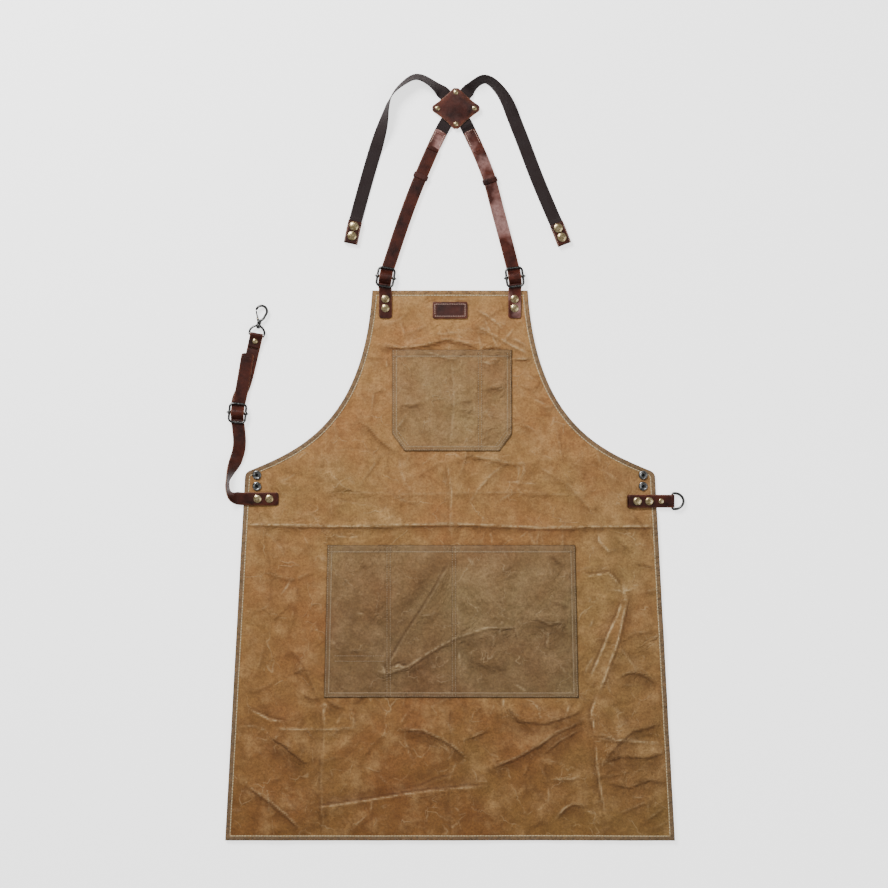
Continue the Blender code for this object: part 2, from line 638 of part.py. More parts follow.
def make_hook(eye_z):
    """The half-round eye in the strap's fold, the swivel, the snap hook, its gate and gate pin."""
    seat = []
    half = 11.5
    arc = [(half * cos(a), 3.0 + 11.5 * sin(a), 0) for a in [pi * i / 10 for i in range(11)]]
    eye = wire("hook_eye", [(-half, 0, 0), (half, 0, 0), *arc], 2.6, GUNMETAL, closed=True)
    boss = rod("hook_eye_boss", (0, 12.6, 0), (0, 17.4, 0), 7.4)
    bore = rod("hook_eye_bore", (0, 10, 0), (0, 20, 0), 3.2 + 2 * GAP)
    join(eye, boss)
    cut(eye, bore)
    seat += [eye, boss, bore]
    base = 17.4 + GAP
    stem = rod("snap_hook", (0, 11.5, 0), (0, base + 6, 0), 3.2)
    head = rod("hook_head", (0, 10.4, 0), (0, 12.6 - GAP, 0), 5.4)
    collar = rod("hook_collar", (0, base, 0), (0, base + 5.5, 0), 6.6)
    top = base + 19.7
    loop_points = [(0, base + 3, 0), (5.4, base + 8.5, 0)]
    loop_points += [(8.2 * cos(a), top + 8.2 * sin(a), 0) for a in [radians(-20 + 20 * i) for i in range(11)]]
    loop = wire("hook_loop", loop_points, HOOK_WIRE, GUNMETAL)
    join(stem, head, collar, loop)
    hinge = (-3.6, base + 7.4)
    lug = rod("hook_lug", (-2.2, base + 4.4, -1.0), (-3.6, base + 7.4, -1.0), 2.2)
    join(stem, lug)
    gate = rod("hook_gate", (hinge[0], hinge[1] + 2.4, 0), (-8.0, top - 0.9, 0), 2.2)
    knuckle = rod("hook_gate_knuckle", (*hinge, 0.6), (*hinge, 2.8), 3.6)
    arm = rod("hook_gate_arm", (hinge[0], hinge[1], 1.7), (hinge[0] - 0.9, hinge[1] + 3.0, 0.9), 2.0)
    gate_bore = rod("hook_gate_bore", (*hinge, -4), (*hinge, 5), 1.2 + 2 * GAP)
    join(gate, knuckle, arm)
    cut(gate, gate_bore)
    pin = rod("hook_gate_pin", (*hinge, 0.4), (*hinge, 3.4), 1.2, BRASS)
    seat += [stem, head, collar, loop, lug, gate, knuckle, arm, gate_bore, pin]
    to_guides(bore, gate_bore)
    for thing in seat:
        thing.location = vec(*EYE, eye_z)
        thing.rotation_euler.z = -radians(HOOK_LEAN)


def make_ring_tab(bib):
    """A doubled leather tab at the right hip, holding the ring on its straight side."""
    plan = Plan([(TAB_END_X, TAB_Y), (300, TAB_Y), (RING_X + 6, TAB_Y)])
    ring_r = 2.7
    ring_s = RING_X - TAB_END_X
    low, high = CLOTH + GAP + BACK_T / 2, CLOTH + 2 * GAP + BACK_T * 1.5
    ring_z = (low + high) / 2
    turn = [(ring_s + ring_r * sin(a), ring_z - ring_r * cos(a)) for a in [pi * i / 7 for i in range(8)]]
    tab = ribbon("ring_tab", plan, [(0, low), (ring_s - 10, low), *turn, (ring_s - 10, high), (0, high)],
                 STRAP_W, BACK_T, LEATHER)
    for name, x in (("ring_cap_inner", 284), ("ring_cap_outer", 302)):
        cutter = hole(name, x, TAB_Y)
        cut(bib, cutter)
        cut(tab, cutter)
        rivet(name, x, TAB_Y, high + BACK_T / 2)
    cut(tab, hole("ring_tab_rivet", 320, TAB_Y, shank=1.5, recess=2.9, depth=2.9))
    rivet("ring_tab_rivet", 320, TAB_Y, high + BACK_T / 2, cap=4.0, rise=1.5, flange=2.4,
          bottom=2.0, shank=1.0)
    straight_half = 12.0
    arc = [(4.0 + 13.0 * sin(a), -straight_half * cos(a), 0) for a in [pi * i / 12 for i in range(13)]]
    ring = wire("d_ring", [(0, -straight_half + 1, 0), (0, straight_half - 1, 0), *reversed(arc)],
                RING_WIRE, GUNMETAL, closed=True)
    ring.location = vec(RING_X, TAB_Y, ring_z)


bib_cloth, skirt_cloth = make_cloth()
pocket("bib_pocket", -88.0, 94.0, 325.0, 171.5, [45.5], 8.0, chamfer=19.0)
pocket("lap_pocket", -186.0, 190.0, 29.0, -202.0, [-93.0, 6.0], 8.0, flare=5.0)
make_label()
for strap_side in ("left", "right"):
    make_shoulder(strap_side)
    sign = -1 if strap_side == "left" else 1
    cut(bib_cloth, *[guides.objects[f"hole_bib_{strap_side}_{k}"] for k in (0, 1)])
make_patch()
make_hip_studs(bib_cloth)
make_hook(make_hook_strap(*make_waist_strap(bib_cloth)))
make_ring_tab(bib_cloth)
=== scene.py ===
"""The looks of the butcher apron: waxed canvas, stitching, leather, webbing and metalware, each
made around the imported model. Sizes are in millimetres and become metres through MM."""
import json
from math import atan2, cos, hypot, pi, radians, sin

import bmesh
import bpy
import numpy as np
from mathutils import Matrix, Vector, noise


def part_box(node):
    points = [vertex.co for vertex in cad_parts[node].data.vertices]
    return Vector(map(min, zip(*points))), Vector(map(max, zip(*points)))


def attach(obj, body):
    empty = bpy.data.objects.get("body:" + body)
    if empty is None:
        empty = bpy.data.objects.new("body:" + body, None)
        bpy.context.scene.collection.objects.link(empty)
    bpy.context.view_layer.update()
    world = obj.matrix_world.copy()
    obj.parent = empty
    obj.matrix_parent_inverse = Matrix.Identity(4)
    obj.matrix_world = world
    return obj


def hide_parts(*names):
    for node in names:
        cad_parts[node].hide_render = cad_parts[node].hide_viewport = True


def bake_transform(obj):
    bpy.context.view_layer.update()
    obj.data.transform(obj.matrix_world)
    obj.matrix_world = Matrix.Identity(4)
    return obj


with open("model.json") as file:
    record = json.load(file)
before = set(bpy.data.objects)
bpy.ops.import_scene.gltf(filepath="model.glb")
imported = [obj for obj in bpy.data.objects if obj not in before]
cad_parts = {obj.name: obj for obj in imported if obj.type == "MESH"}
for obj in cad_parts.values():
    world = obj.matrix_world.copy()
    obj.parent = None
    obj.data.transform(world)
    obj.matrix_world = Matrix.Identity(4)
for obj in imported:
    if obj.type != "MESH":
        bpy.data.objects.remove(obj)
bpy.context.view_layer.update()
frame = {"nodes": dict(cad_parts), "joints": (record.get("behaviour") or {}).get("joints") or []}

MM = 0.001
GAP = 0.3                   # air between pieces that pass each other

# ---- sizes that the model shares with the looks --------------------------------------------------
BIB_HALF, TOP_Y = 118.0, 415.0
SIDE_HALF, SIDE_Y, CORNER = 311.0, 134.0, (308.0, 140.0)
BOTTOM_HALF, BOTTOM_Y = 341.0, -419.0
NECK_HANDLE, SIDE_HANDLE = (130.6, 205.4), (238.9, 169.0)
STRAP_W, STRAP_T, BACK_T, WEB_W, WEB_T = 19.6, 1.8, 1.6, 20.0, 1.2
BACK_Z, FRONT_Z, WEB_Z, ANCHOR_Z = 2.6, 4.6, 0.9, 3.2
WIRE, BAR_D, BUCKLE_W, BUCKLE_H = 3.0, 2.4, 28.0, 31.0
BUCKLE_Z = FRONT_Z + STRAP_T / 2 + GAP + WIRE / 2
LOOP_R = BAR_D / 2 + GAP + 0.7
CROWN_Z = BUCKLE_Z + LOOP_R + 0.7 + GAP + STRAP_T / 2
CROSSING, CROSSING_Z = (9.0, 691.0), {"left": 2.7, "right": 4.2}
STRAP_X = {"left": -98, "right": 98}
CLOTH = 0.9                 # one thickness of canvas
HEM = 7.0                   # from the edge to the row of stitches

joints = {j["name"]: j for j in frame["joints"]}


# ---- materials -----------------------------------------------------------------------------------
class Finish:
    """A procedural material and short ways to add nodes to it."""

    def __init__(self, name, **sockets):
        self.material = bpy.data.materials.new(name)
        self.material.use_nodes = True
        self.tree = self.material.node_tree
        self.shader = self.tree.nodes["Principled BSDF"]
        for socket, value in sockets.items():
            self.shader.inputs[socket.replace("_", " ")].default_value = value
        self.place = self.node("TexCoord").outputs["Object"]

    def node(self, kind, inputs=(), **settings):
        made = self.tree.nodes.new("ShaderNode" + kind)
        for key, value in settings.items():
            setattr(made, key, value)
        for key, value in dict(inputs).items():
            if isinstance(value, bpy.types.NodeSocket):
                self.tree.links.new(value, made.inputs[key])
            else:
                made.inputs[key].default_value = value
        return made

    def noise(self, scale, detail=4.0, roughness=0.55):
        inputs = {"Vector": self.place, "Scale": scale, "Detail": detail, "Roughness": roughness}
        return self.node("TexNoise", inputs).outputs["Fac"]

    def spread(self, value, low, high, out_low=0.0, out_high=1.0):
        """Stretch a value so that low..high becomes out_low..out_high."""
        inputs = {"Value": value, "From Min": low, "From Max": high,
                  "To Min": out_low, "To Max": out_high}
        return self.node("MapRange", inputs).outputs["Result"]

    def patches(self, settings, levels, results=(0.0, 1.0)):
        """Noise of (scale, detail, roughness), stretched from its levels to the results."""
        return self.spread(self.noise(*settings), *levels, *results)

    def math(self, operation, a, b=0.0):
        return self.node("Math", {0: a, 1: b}, operation=operation).outputs[0]

    def times(self, a, b):
        return self.math("MULTIPLY", a, b)

    def mix(self, share, a, b, blend="MIX"):
        a, b = [(*c, 1.0) if isinstance(c, tuple) and len(c) == 3 else c for c in (a, b)]
        made = self.node("Mix", {0: share, 6: a, 7: b}, data_type="RGBA", blend_type=blend)
        return made.outputs[2]

    def tint(self, base, colour):
        return self.mix(1.0, base, colour, "MULTIPLY")

    def attribute(self, name):
        return self.node("Attribute", attribute_name=name).outputs["Fac"]

    def set(self, socket, value):
        self.tree.links.new(value, self.shader.inputs[socket])

    def bump(self, height, distance, strength=1.0, after=None):
        inputs = {"Height": height, "Distance": distance, "Strength": strength}
        if after:
            inputs["Normal"] = after
        return self.node("Bump", inputs).outputs["Normal"]


def canvas_finish(name, top, bottom, low_y, high_y, grey, band, worn):
    """Waxed cotton canvas: woven, mottled, darker towards the hem, and pale along its creases.
    Its colour runs from bottom at low_y to top at high_y, its rubbed places turn to worn, and its
    hem to grey, by as much as band says."""
    f = Finish(name, Roughness=0.8, Sheen_Weight=0.04, Sheen_Roughness=0.5, Specular_IOR_Level=0.3)
    x, y, _ = f.node("SeparateXYZ", {0: f.place}).outputs
    base = f.mix(f.spread(y, low_y, high_y), bottom, top)
    red, olive = f.tint(base, (0.95, 0.83, 0.74)), f.tint(base, (0.98, 1.07, 1.00))
    base = f.mix(f.patches((6.5, 4.0, 0.6), (0.36, 0.64)), red, olive)
    aged = f.tint(base, (1.0, 1.12, 1.25))
    base = f.mix(f.spread(x, 0.16, 0.28, 0.0, 0.75), base, aged)
    clouds = f.noise(24.0, 5.0, 0.65)
    base = f.mix(f.spread(clouds, 0.50, 0.76, 0.0, 0.55), base, worn)
    dark = f.tint(base, (0.62, 0.55, 0.46))
    base = f.mix(f.patches((62.0, 5.0, 0.72), (0.32, 0.56), (0.75, 0.0)), base, dark)
    light = f.tint(base, (1.26, 1.24, 1.20))
    base = f.mix(f.patches((150.0, 4.0, 0.7), (0.48, 0.68), (0.0, 0.75)), base, light)
    base = f.mix(f.patches((300.0, 4.0, 0.75), (0.30, 0.55), (0.85, 0.0)), base, dark)
    base = f.mix(f.patches((420.0, 3.0, 0.75), (0.50, 0.66), (0.0, 0.8)), base, light)

    # cells with bent sides: wax cracks run between the small ones, as pale broken lines
    wander = f.node("TexNoise", {"Scale": 12.0}).outputs["Color"]
    bent = f.node("Mix", {0: 0.03, 4: f.place, 5: wander}, data_type="VECTOR").outputs[1]

    def cells(scale):
        made = f.node("TexVoronoi", {"Vector": bent, "Scale": scale}, feature="DISTANCE_TO_EDGE")
        return made.outputs["Distance"]

    cracks = f.times(f.spread(cells(17.0), 0.0, 0.020, 1.0, 0.0),
                     f.patches((38.0, 3.0), (0.46, 0.62)))
    crease = f.times(f.math("POWER", f.attribute("crease"), 2.4),
                     f.patches((110.0, 4.0, 0.7), (0.40, 0.62), (0.12, 1.0)))
    pale = f.math("MINIMUM", f.math("ADD", f.times(cracks, 0.24), f.times(crease, 0.95)), 0.9)
    base = f.mix(pale, base, f.mix(0.55, worn, (0.78, 0.60, 0.35)))
    # painted shade: darkening beside the creases and along the pocket seams
    painted_shade = f.tint(base, (0.34, 0.24, 0.14))
    base = f.mix(f.times(f.attribute("painted_shade"), 0.8), base, painted_shade)

    # the turned hem, the painted shade of its puckers, the line of its seam, and the painted shade
    # at its rim
    edge, seam_at = f.attribute("edge"), HEM * MM
    hem = f.spread(edge, seam_at - 0.0006, seam_at + 0.0006, 1.0, 0.0)
    grey = f.mix(f.spread(y, 0.36, 0.41, 0.0, 0.6), grey, top)
    greyed = f.patches((80.0,), (0.3, 0.7), (0.5 * band, 0.95 * band))
    base = f.mix(f.times(hem, greyed), base, grey)
    # painted shade: dark blotches along the hem where it puckers
    pucker_shade = f.times(hem, f.patches((210.0, 2.0), (0.50, 0.62), (0.0, 0.6 * band)))
    base = f.mix(pucker_shade, base, (0.075, 0.048, 0.026))
    off_seam = f.math("ABSOLUTE", f.math("SUBTRACT", edge, seam_at))
    seam = f.spread(off_seam, 0.0003, 0.0014, 0.1 + 0.28 * band, 0.0)
    base = f.mix(seam, base, f.mix(0.5, worn, (0.75, 0.62, 0.40)))
    shaded = f.tint(base, (0.42, 0.38, 0.34))
    base = f.mix(f.spread(edge, 0.0004, 0.0013, 0.75, 0.0), base, shaded)
    f.set("Base Color", base)
    f.set("Roughness", f.spread(clouds, 0.3, 0.7, 0.88, 0.62))

    # the weave, small dents, and crumpled facets, each a low pyramid on a large cell
    wave = {"Vector": f.place, "Scale": 380.0, "Distortion": 1.2, "Detail": 1.0,
            "Detail Scale": 2.0}
    warp, weft = (f.node("TexWave", wave, bands_direction=way).outputs["Fac"] for way in "XY")
    normal = f.bump(f.math("ADD", warp, weft), 0.00012, 0.5)
    normal = f.bump(f.noise(48.0, 6.0, 0.62), 0.0030, 0.8, normal)
    for scale, depth in ((8.0, 0.010), (21.0, 0.0035)):
        facets = f.times(cells(scale), f.patches((4.0, 2.0), (0.35, 0.65), (0.3, 1.0)))
        normal = f.bump(facets, depth, 0.85, normal)
    f.set("Normal", f.bump(cracks, 0.0005, 0.7, normal))
    return f.material


def leather_finish(name, dark, warm, roughness, coat, painted_sheen):
    """Oiled leather: clouded, rubbed paler at its sides, and with pale patches of painted sheen."""
    f = Finish(name, Specular_IOR_Level=0.20, Coat_Weight=coat, Coat_Roughness=0.30)
    base = f.mix(f.patches((45.0, 4.0, 0.6), (0.32, 0.68)), dark, warm)
    sides = f.spread(f.math("ABSOLUTE", f.attribute("across")), 0.66, 0.98, 0.0, 0.6)
    rubbed = f.times(sides, f.patches((120.0, 3.0), (0.35, 0.65)))
    base = f.mix(rubbed, base, (0.17, 0.045, 0.018))
    base = f.mix(f.patches((380.0, 3.0), (0.35, 0.7), (0.0, 0.35)), base, dark)
    # painted sheen: pale pinkish patches standing in for gloss highlights
    sheen_patches = f.times(f.patches((17.0, 3.0, 0.5), (0.43, 0.56)),
                   f.patches((260.0, 3.0), (0.3, 0.6), (0.5, 1.0)))
    base = f.mix(f.times(sheen_patches, 0.75 * painted_sheen), base, (0.36, 0.205, 0.185))
    f.set("Base Color", base)
    f.set("Roughness", f.patches((90.0, 4.0, 0.65), (0.3, 0.7),
                                 (roughness - 0.10, roughness + 0.14)))
    pores = f.node("TexVoronoi", {"Vector": f.place, "Scale": 1100.0}).outputs["Distance"]
    normal = f.bump(pores, 0.00014, 0.45)
    f.set("Normal", f.bump(f.noise(240.0, 5.0, 0.7), 0.0005, 0.55, normal))
    return f.material


def cut_edge_finish():
    """The raw cut edge of the leather."""
    f = Finish("leather_edge", Roughness=0.72)
    f.set("Base Color", f.mix(f.noise(300.0, 4.0), (0.16, 0.06, 0.03), (0.42, 0.25, 0.15)))
    f.set("Normal", f.bump(f.noise(700.0, 3.0), 0.0002, 0.6))
    return f.material


def webbing_finish():
    """Dense webbing, ribbed across its width."""
    f = Finish("ribbed_webbing", Roughness=0.85, Sheen_Weight=0.03, Specular_IOR_Level=0.25)
    ribs = f.math("SINE", f.times(f.attribute("along"), 2 * pi / 0.0016))
    threads = f.math("SINE", f.times(f.attribute("across"), 34.0))
    weave = f.math("ADD", ribs, f.times(threads, 0.6))
    base = f.mix(f.spread(weave, -1.5, 1.5), (0.0080, 0.0043, 0.0042), (0.028, 0.0170, 0.0165))
    base = f.mix(f.patches((60.0,), (0.4, 0.7), (0.0, 0.4)), base, (0.026, 0.019, 0.019))
    f.set("Base Color", base)
    f.set("Normal", f.bump(weave, 0.00022, 0.6))
    return f.material


def metal_finish(name, colour, worn, roughness, rim=1.0):
    """Plated metal, with its plating rubbed pale in places. rim is how bright it turns edge-on."""
    f = Finish(name, Metallic=1.0, Specular_Tint=(rim, rim, rim, 1.0))
    f.set("Base Color", f.mix(f.patches((420.0, 5.0, 0.7), (0.42, 0.66)), colour, worn))
    f.set("Roughness", f.patches((900.0, 3.0), (0.3, 0.7), (roughness - 0.06, roughness + 0.14)))
    f.set("Normal", f.bump(f.noise(700.0, 3.0), 0.00006, 0.5))
    return f.material


def thread_finish(name, colour, dark):
    """Twisted sewing thread."""
    f = Finish(name, Roughness=0.7, Sheen_Weight=0.2)
    twist = f.node("TexWave", {"Vector": f.place, "Scale": 1400.0, "Distortion": 2.0},
                   bands_direction="DIAGONAL").outputs["Fac"]
    f.set("Base Color", f.mix(f.times(twist, 0.5), colour, dark))
    f.set("Normal", f.bump(twist, 0.0001, 0.5))
    return f.material


CANVAS = canvas_finish("waxed_canvas", (0.335, 0.178, 0.066), (0.186, 0.086, 0.023), -0.42, 0.30,
                       (0.150, 0.098, 0.054), 1.0, (0.47, 0.285, 0.115))
POCKET = canvas_finish("pocket_canvas", (0.262, 0.157, 0.069), (0.168, 0.100, 0.044), -0.12, 0.20,
                       (0.17, 0.110, 0.060), 0.3, (0.33, 0.205, 0.095))
# the last number of each leather is how strong its painted sheen is
LEATHER = leather_finish("oiled_leather", (0.013, 0.0028, 0.0017), (0.062, 0.0105, 0.0040),
                         0.50, 0.02, 0.0)
GLOSSY = leather_finish("polished_leather", (0.010, 0.0022, 0.0014), (0.055, 0.0085, 0.0032),
                        0.46, 0.03, 0.10)
# the right strap's front layer and both rear layers: paler leather, with the strongest painted
# sheen
SHEEN_PAINTED_LEATHER = leather_finish("sheen_painted_leather", (0.020, 0.0040, 0.0025), (0.095, 0.018, 0.0085),
                        0.44, 0.05, 1.0)
EDGE = cut_edge_finish()
WEBBING = webbing_finish()
BRASS = metal_finish("antique_brass", (0.30, 0.215, 0.095), (0.78, 0.66, 0.40), 0.24)
GUNMETAL = metal_finish("gunmetal", (0.030, 0.030, 0.029), (0.19, 0.19, 0.185), 0.26, 0.08)
STEEL = metal_finish("worn_steel", (0.07, 0.07, 0.068), (0.40, 0.40, 0.39), 0.22, 0.3)
# painted shade: near-black for the inside of the studs' hollow posts
HOLE_SHADE = metal_finish("painted_hole_shade", (0.010, 0.010, 0.010), (0.03, 0.03, 0.03), 0.45)
CREAM = thread_finish("cream_thread", (0.64, 0.52, 0.31), (0.40, 0.30, 0.16))
TAN = thread_finish("tan_thread", (0.37, 0.26, 0.145), (0.17, 0.105, 0.05))
ROSE = thread_finish("rose_thread", (0.62, 0.44, 0.36), (0.36, 0.22, 0.17))


# ---- making and placing pieces -------------------------------------------------------------------
def piece(name, points, faces, materials, attributes=()):
    """A smooth mesh object from points in millimetres."""
    mesh = bpy.data.meshes.new(name)
    mesh.from_pydata((np.asarray(points, float) * MM).tolist(), [], faces)
    for material in materials:
        mesh.materials.append(material)
    for key, values in dict(attributes).items():
        layer = mesh.attributes.new(key, "FLOAT", "POINT")
        layer.data.foreach_set("value", np.asarray(values, np.float32))
    mesh.shade_smooth()
    made = bpy.data.objects.new(name, mesh)
    bpy.context.collection.objects.link(made)
    return made


def settle(made, body, nodes=()):
    """Ride on a body in place of CAD nodes."""
    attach(made, body)
    if nodes:
        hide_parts(*nodes)


def turn_outwards(made):
    """Make every face point outwards."""
    bm = bmesh.new()
    bm.from_mesh(made.data)
    bmesh.ops.recalc_face_normals(bm, faces=bm.faces)
    bm.to_mesh(made.data)
    bm.free()


def ring_faces(rings, count, base=0, closed=False):
    """Quads between rings of count points each, and from the last to the first if closed."""
    around = [(j, (j + 1) % count) for j in range(count)]
    steps = [(base + r * count, base + (r + 1) % rings * count)
             for r in range(rings if closed else rings - 1)]
    return [(a + j, a + k, b + k, b + j) for a, b in steps for j, k in around]


def end_faces(rings, count, base=0):
    """The faces that close the first and the last ring."""
    last = base + (rings - 1) * count
    return [tuple(range(base + count - 1, base - 1, -1)), tuple(range(last, last + count))]


def circle(count):
    return [2 * pi * i / count for i in range(count)]


def half_turn(steps):
    return [pi * i / steps for i in range(steps + 1)]


def middle(node):
    """A node's middle, bottom and top, in mm."""
    low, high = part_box(node)
    return (low + high) / 2 / MM, low.z / MM, high.z / MM


# ---- the cloth's outline and relief --------------------------------------------------------------
def bezier(a, b, c, d, count):
    t = np.linspace(0, 1, count)[:, None]
    a, b, c, d = (np.array(p, float) for p in (a, b, c, d))
    return (1 - t) ** 3 * a + 3 * (1 - t) ** 2 * t * b + 3 * (1 - t) * t * t * c + t ** 3 * d


# the right-hand edge from the bottom corner up to the neck, and the whole outline
RIGHT = np.vstack([np.linspace((BOTTOM_HALF, BOTTOM_Y), (SIDE_HALF, SIDE_Y), 60),
                   bezier(CORNER, SIDE_HANDLE, NECK_HANDLE, (BIB_HALF, TOP_Y), 90)])
OUTLINE = np.vstack([RIGHT, RIGHT[::-1] * (-1, 1), RIGHT[:1]])


def line_distance(x, y, line):
    """How far each place is from a line of points, on which side of it, how far along the line its
    nearest point is, and the line's length."""
    best = np.full(x.shape, 1e9)
    side = np.zeros(x.shape)
    along = np.zeros(x.shape)
    walked = 0.0
    for (ax, ay), (bx, by) in zip(line, line[1:]):
        length = hypot(bx - ax, by - ay)
        if length < 1e-9:
            continue
        ux, uy = (bx - ax) / length, (by - ay) / length
        t = np.clip((x - ax) * ux + (y - ay) * uy, 0, length)
        dx, dy = x - ax - t * ux, y - ay - t * uy
        d = np.hypot(dx, dy)
        near = d < best
        best = np.where(near, d, best)
        side = np.where(near, np.sign(ux * dy - uy * dx), side)
        along = np.where(near, walked + t, along)
        walked += length
    return best, side, along, walked


# Folds and creases: points, height, width, how pale they are worn.
FOLDS = [
    # the waist, where the apron was folded in half, and a fainter line above it
    ([(-313, 60), (-150, 57), (0, 61), (140, 55), (318, 58)], 1.9, 4.0, 1.0),
    ([(-200, 110), (-60, 106), (90, 109), (210, 104)], 0.6, 4.0, 0.5),
    # below the label
    ([(-112, 331), (-94, 331), (-74, 328), (-41, 332), (-6, 341), (14, 338), (32, 333), (46, 326)],
     2.3, 4.0, 0.8),
    ([(46, 326), (66, 331), (91, 326)], 1.9, 4.0, 0.7),
    ([(90, 311), (110, 311), (128, 313)], 2.0, 4.0, 0.9),
    ([(32, 366), (56, 353), (92, 332), (125, 316)], 1.1, 3.5, 0.9),
    ([(14, 167), (60, 159), (97, 152), (128, 154)], 1.3, 4.0, 0.7),
    ([(-72, 345), (-44, 358), (-30, 368)], 0.8, 4.0, 0.5),
    ([(-36, 345), (-4, 350), (28, 352)], 0.9, 4.0, 0.7),
    ([(34, 389), (54, 378), (68, 368), (86, 352)], 1.1, 3.5, 0.9),
    ([(20, 358), (48, 352), (62, 344)], 0.8, 3.0, 0.6),
    ([(84, 345), (104, 338), (124, 326)], 1.1, 3.5, 0.7),
    # armholes to the pocket
    ([(-144, 222), (-120, 205), (-104, 186), (-77, 168)], 1.6, 4.5, 0.5),
    ([(-122, 268), (-108, 262), (-92, 266)], 0.8, 3.5, 0.4),
    ([(100, 276), (118, 268), (132, 262)], 1.1, 3.5, 0.4),
    ([(100, 215), (124, 206), (132, 196)], 0.9, 3.5, 0.6),
    ([(130, 150), (180, 120), (228, 66)], 0.9, 5.0, 0.5),
    ([(-120, 150), (-90, 112), (-40, 84)], 0.7, 5.0, 0.4),
    ([(-200, 150), (-170, 120), (-120, 104)], 0.9, 6.0, 0.3),
    ([(-6, 162), (2, 110), (0, 62), (4, 32)], 0.9, 4.0, 0.7),
    # the middle and side folds of the skirt
    ([(2, -208), (4, -260), (-2, -320), (4, -418)], 0.9, 5.0, 0.25),
    ([(-193, -208), (-191, -255), (-196, -330), (-192, -415)], 1.0, 7.0, 0.5),
    ([(264, -46), (252, -80), (240, -104), (226, -140), (210, -176)], 1.6, 5.0, 1.0),
    ([(226, -196), (255, -116), (263, -80), (271, -44)], 1.7, 5.0, 1.0),
    ([(224, -196), (214, -222), (220, -264)], 1.3, 4.0, 1.0),
    ([(220, -264), (222, -300), (228, -340), (236, -384)], 1.2, 4.0, 0.8),
    ([(240, -40), (263, -41), (286, -36)], 0.8, 3.0, 1.0),
    ([(262, -22), (263, -41), (266, -60)], 0.8, 3.0, 1.0),
    # right of the lap pocket
    ([(262, -40), (250, -22), (240, -13), (211, -17), (196, -10)], 1.8, 4.5, 0.9),
    ([(222, 60), (226, 34), (240, 20), (262, 24)], 1.0, 3.5, 0.9),
    ([(242, 48), (262, 32), (278, 18)], 1.4, 6.0, 0.2),
    ([(278, 81), (294, 60), (308, 38)], 1.6, 6.0, 0.2),
    ([(275, 2), (292, 2), (311, -5)], 1.3, 4.5, 0.3),
    ([(259, -114), (280, -104), (311, -100)], 1.3, 4.5, 0.4),
    ([(212, -120), (226, -112), (246, -116)], 1.0, 4.0, 0.5),
    ([(249, -176), (266, -165), (282, -163), (300, -170), (318, -183)], 2.6, 7.0, 0.6),
    ([(212, -258), (232, -258), (252, -267), (286, -262)], 1.4, 5.0, 0.7),
    ([(229, -300), (253, -272), (276, -252), (298, -247), (322, -240)], 2.8, 8.0, 0.4),
    ([(220, -264), (256, -267), (324, -272)], 0.9, 4.0, 0.9),
    ([(292, -392), (327, -366)], 1.1, 5.0, 0.6),
    ([(156, -392), (173, -371), (186, -363), (214, -368)], 1.6, 5.0, 0.8),
    ([(226, -300), (262, -290), (298, -292), (330, -282)], 2.6, 9.0, 0.3),
    ([(238, -330), (270, -338), (300, -326), (332, -330)], 1.5, 6.0, 0.4),
    # under and left of the lap pocket
    ([(82, -210), (106, -236), (145, -240), (188, -226), (206, -216)], 3.0, 9.0, 0.4),
    ([(80, -200), (80, -218)], 0.9, 3.0, 1.0),
    ([(56, -310), (101, -293), (136, -273), (160, -255), (204, -236)], 2.2, 6.0, 0.7),
    ([(134, -292), (168, -266), (204, -246)], 1.6, 6.0, 0.6),
    ([(24, -265), (43, -257), (58, -251)], 1.6, 4.0, 0.7),
    ([(147, -328), (188, -325), (203, -318)], 1.1, 4.0, 0.9),
    ([(-80, -249), (-41, -252), (-14, -264), (6, -276), (30, -298)], 2.8, 7.0, 0.8),
    ([(-187, -204), (-172, -214), (-157, -219)], 2.0, 6.0, 0.5),
    ([(-228, -193), (-210, -203), (-192, -203)], 1.8, 4.0, 0.4),
    ([(-242, -168), (-228, -160), (-208, -159)], 1.5, 4.0, 0.4),
    ([(-205, -222), (-190, -212), (-176, -224)], 0.9, 3.5, 0.9),
    ([(-190, -205), (-192, -226), (-190, -250)], 0.9, 3.5, 1.0),
    ([(-272, -249), (-240, -250), (-190, -251), (-134, -248)], 0.8, 4.0, 0.8),
    ([(-244, -240), (-272, -235), (-290, -226), (-311, -216)], 1.7, 4.0, 0.9),
    ([(-279, -256), (-250, -274), (-224, -298), (-206, -303)], 3.0, 9.0, 0.3),
    ([(-314, -331), (-272, -360), (-248, -380), (-223, -405)], 1.7, 5.0, 0.8),
    ([(58, -336), (20, -338), (-33, -343), (-88, -351), (-150, -361), (-210, -369)], 2.4, 6.0, 0.8),
    ([(14, -318), (-20, -326), (-60, -344)], 1.6, 8.0, 0.3),
    ([(-306, 120), (-280, 60), (-268, -20), (-272, -90)], 0.9, 7.0, 0.2),
    ([(-290, -10), (-240, -24), (-206, -12)], 0.9, 5.0, 0.5),
    ([(-250, -120), (-222, -150), (-198, -205)], 1.1, 5.0, 0.4),
]
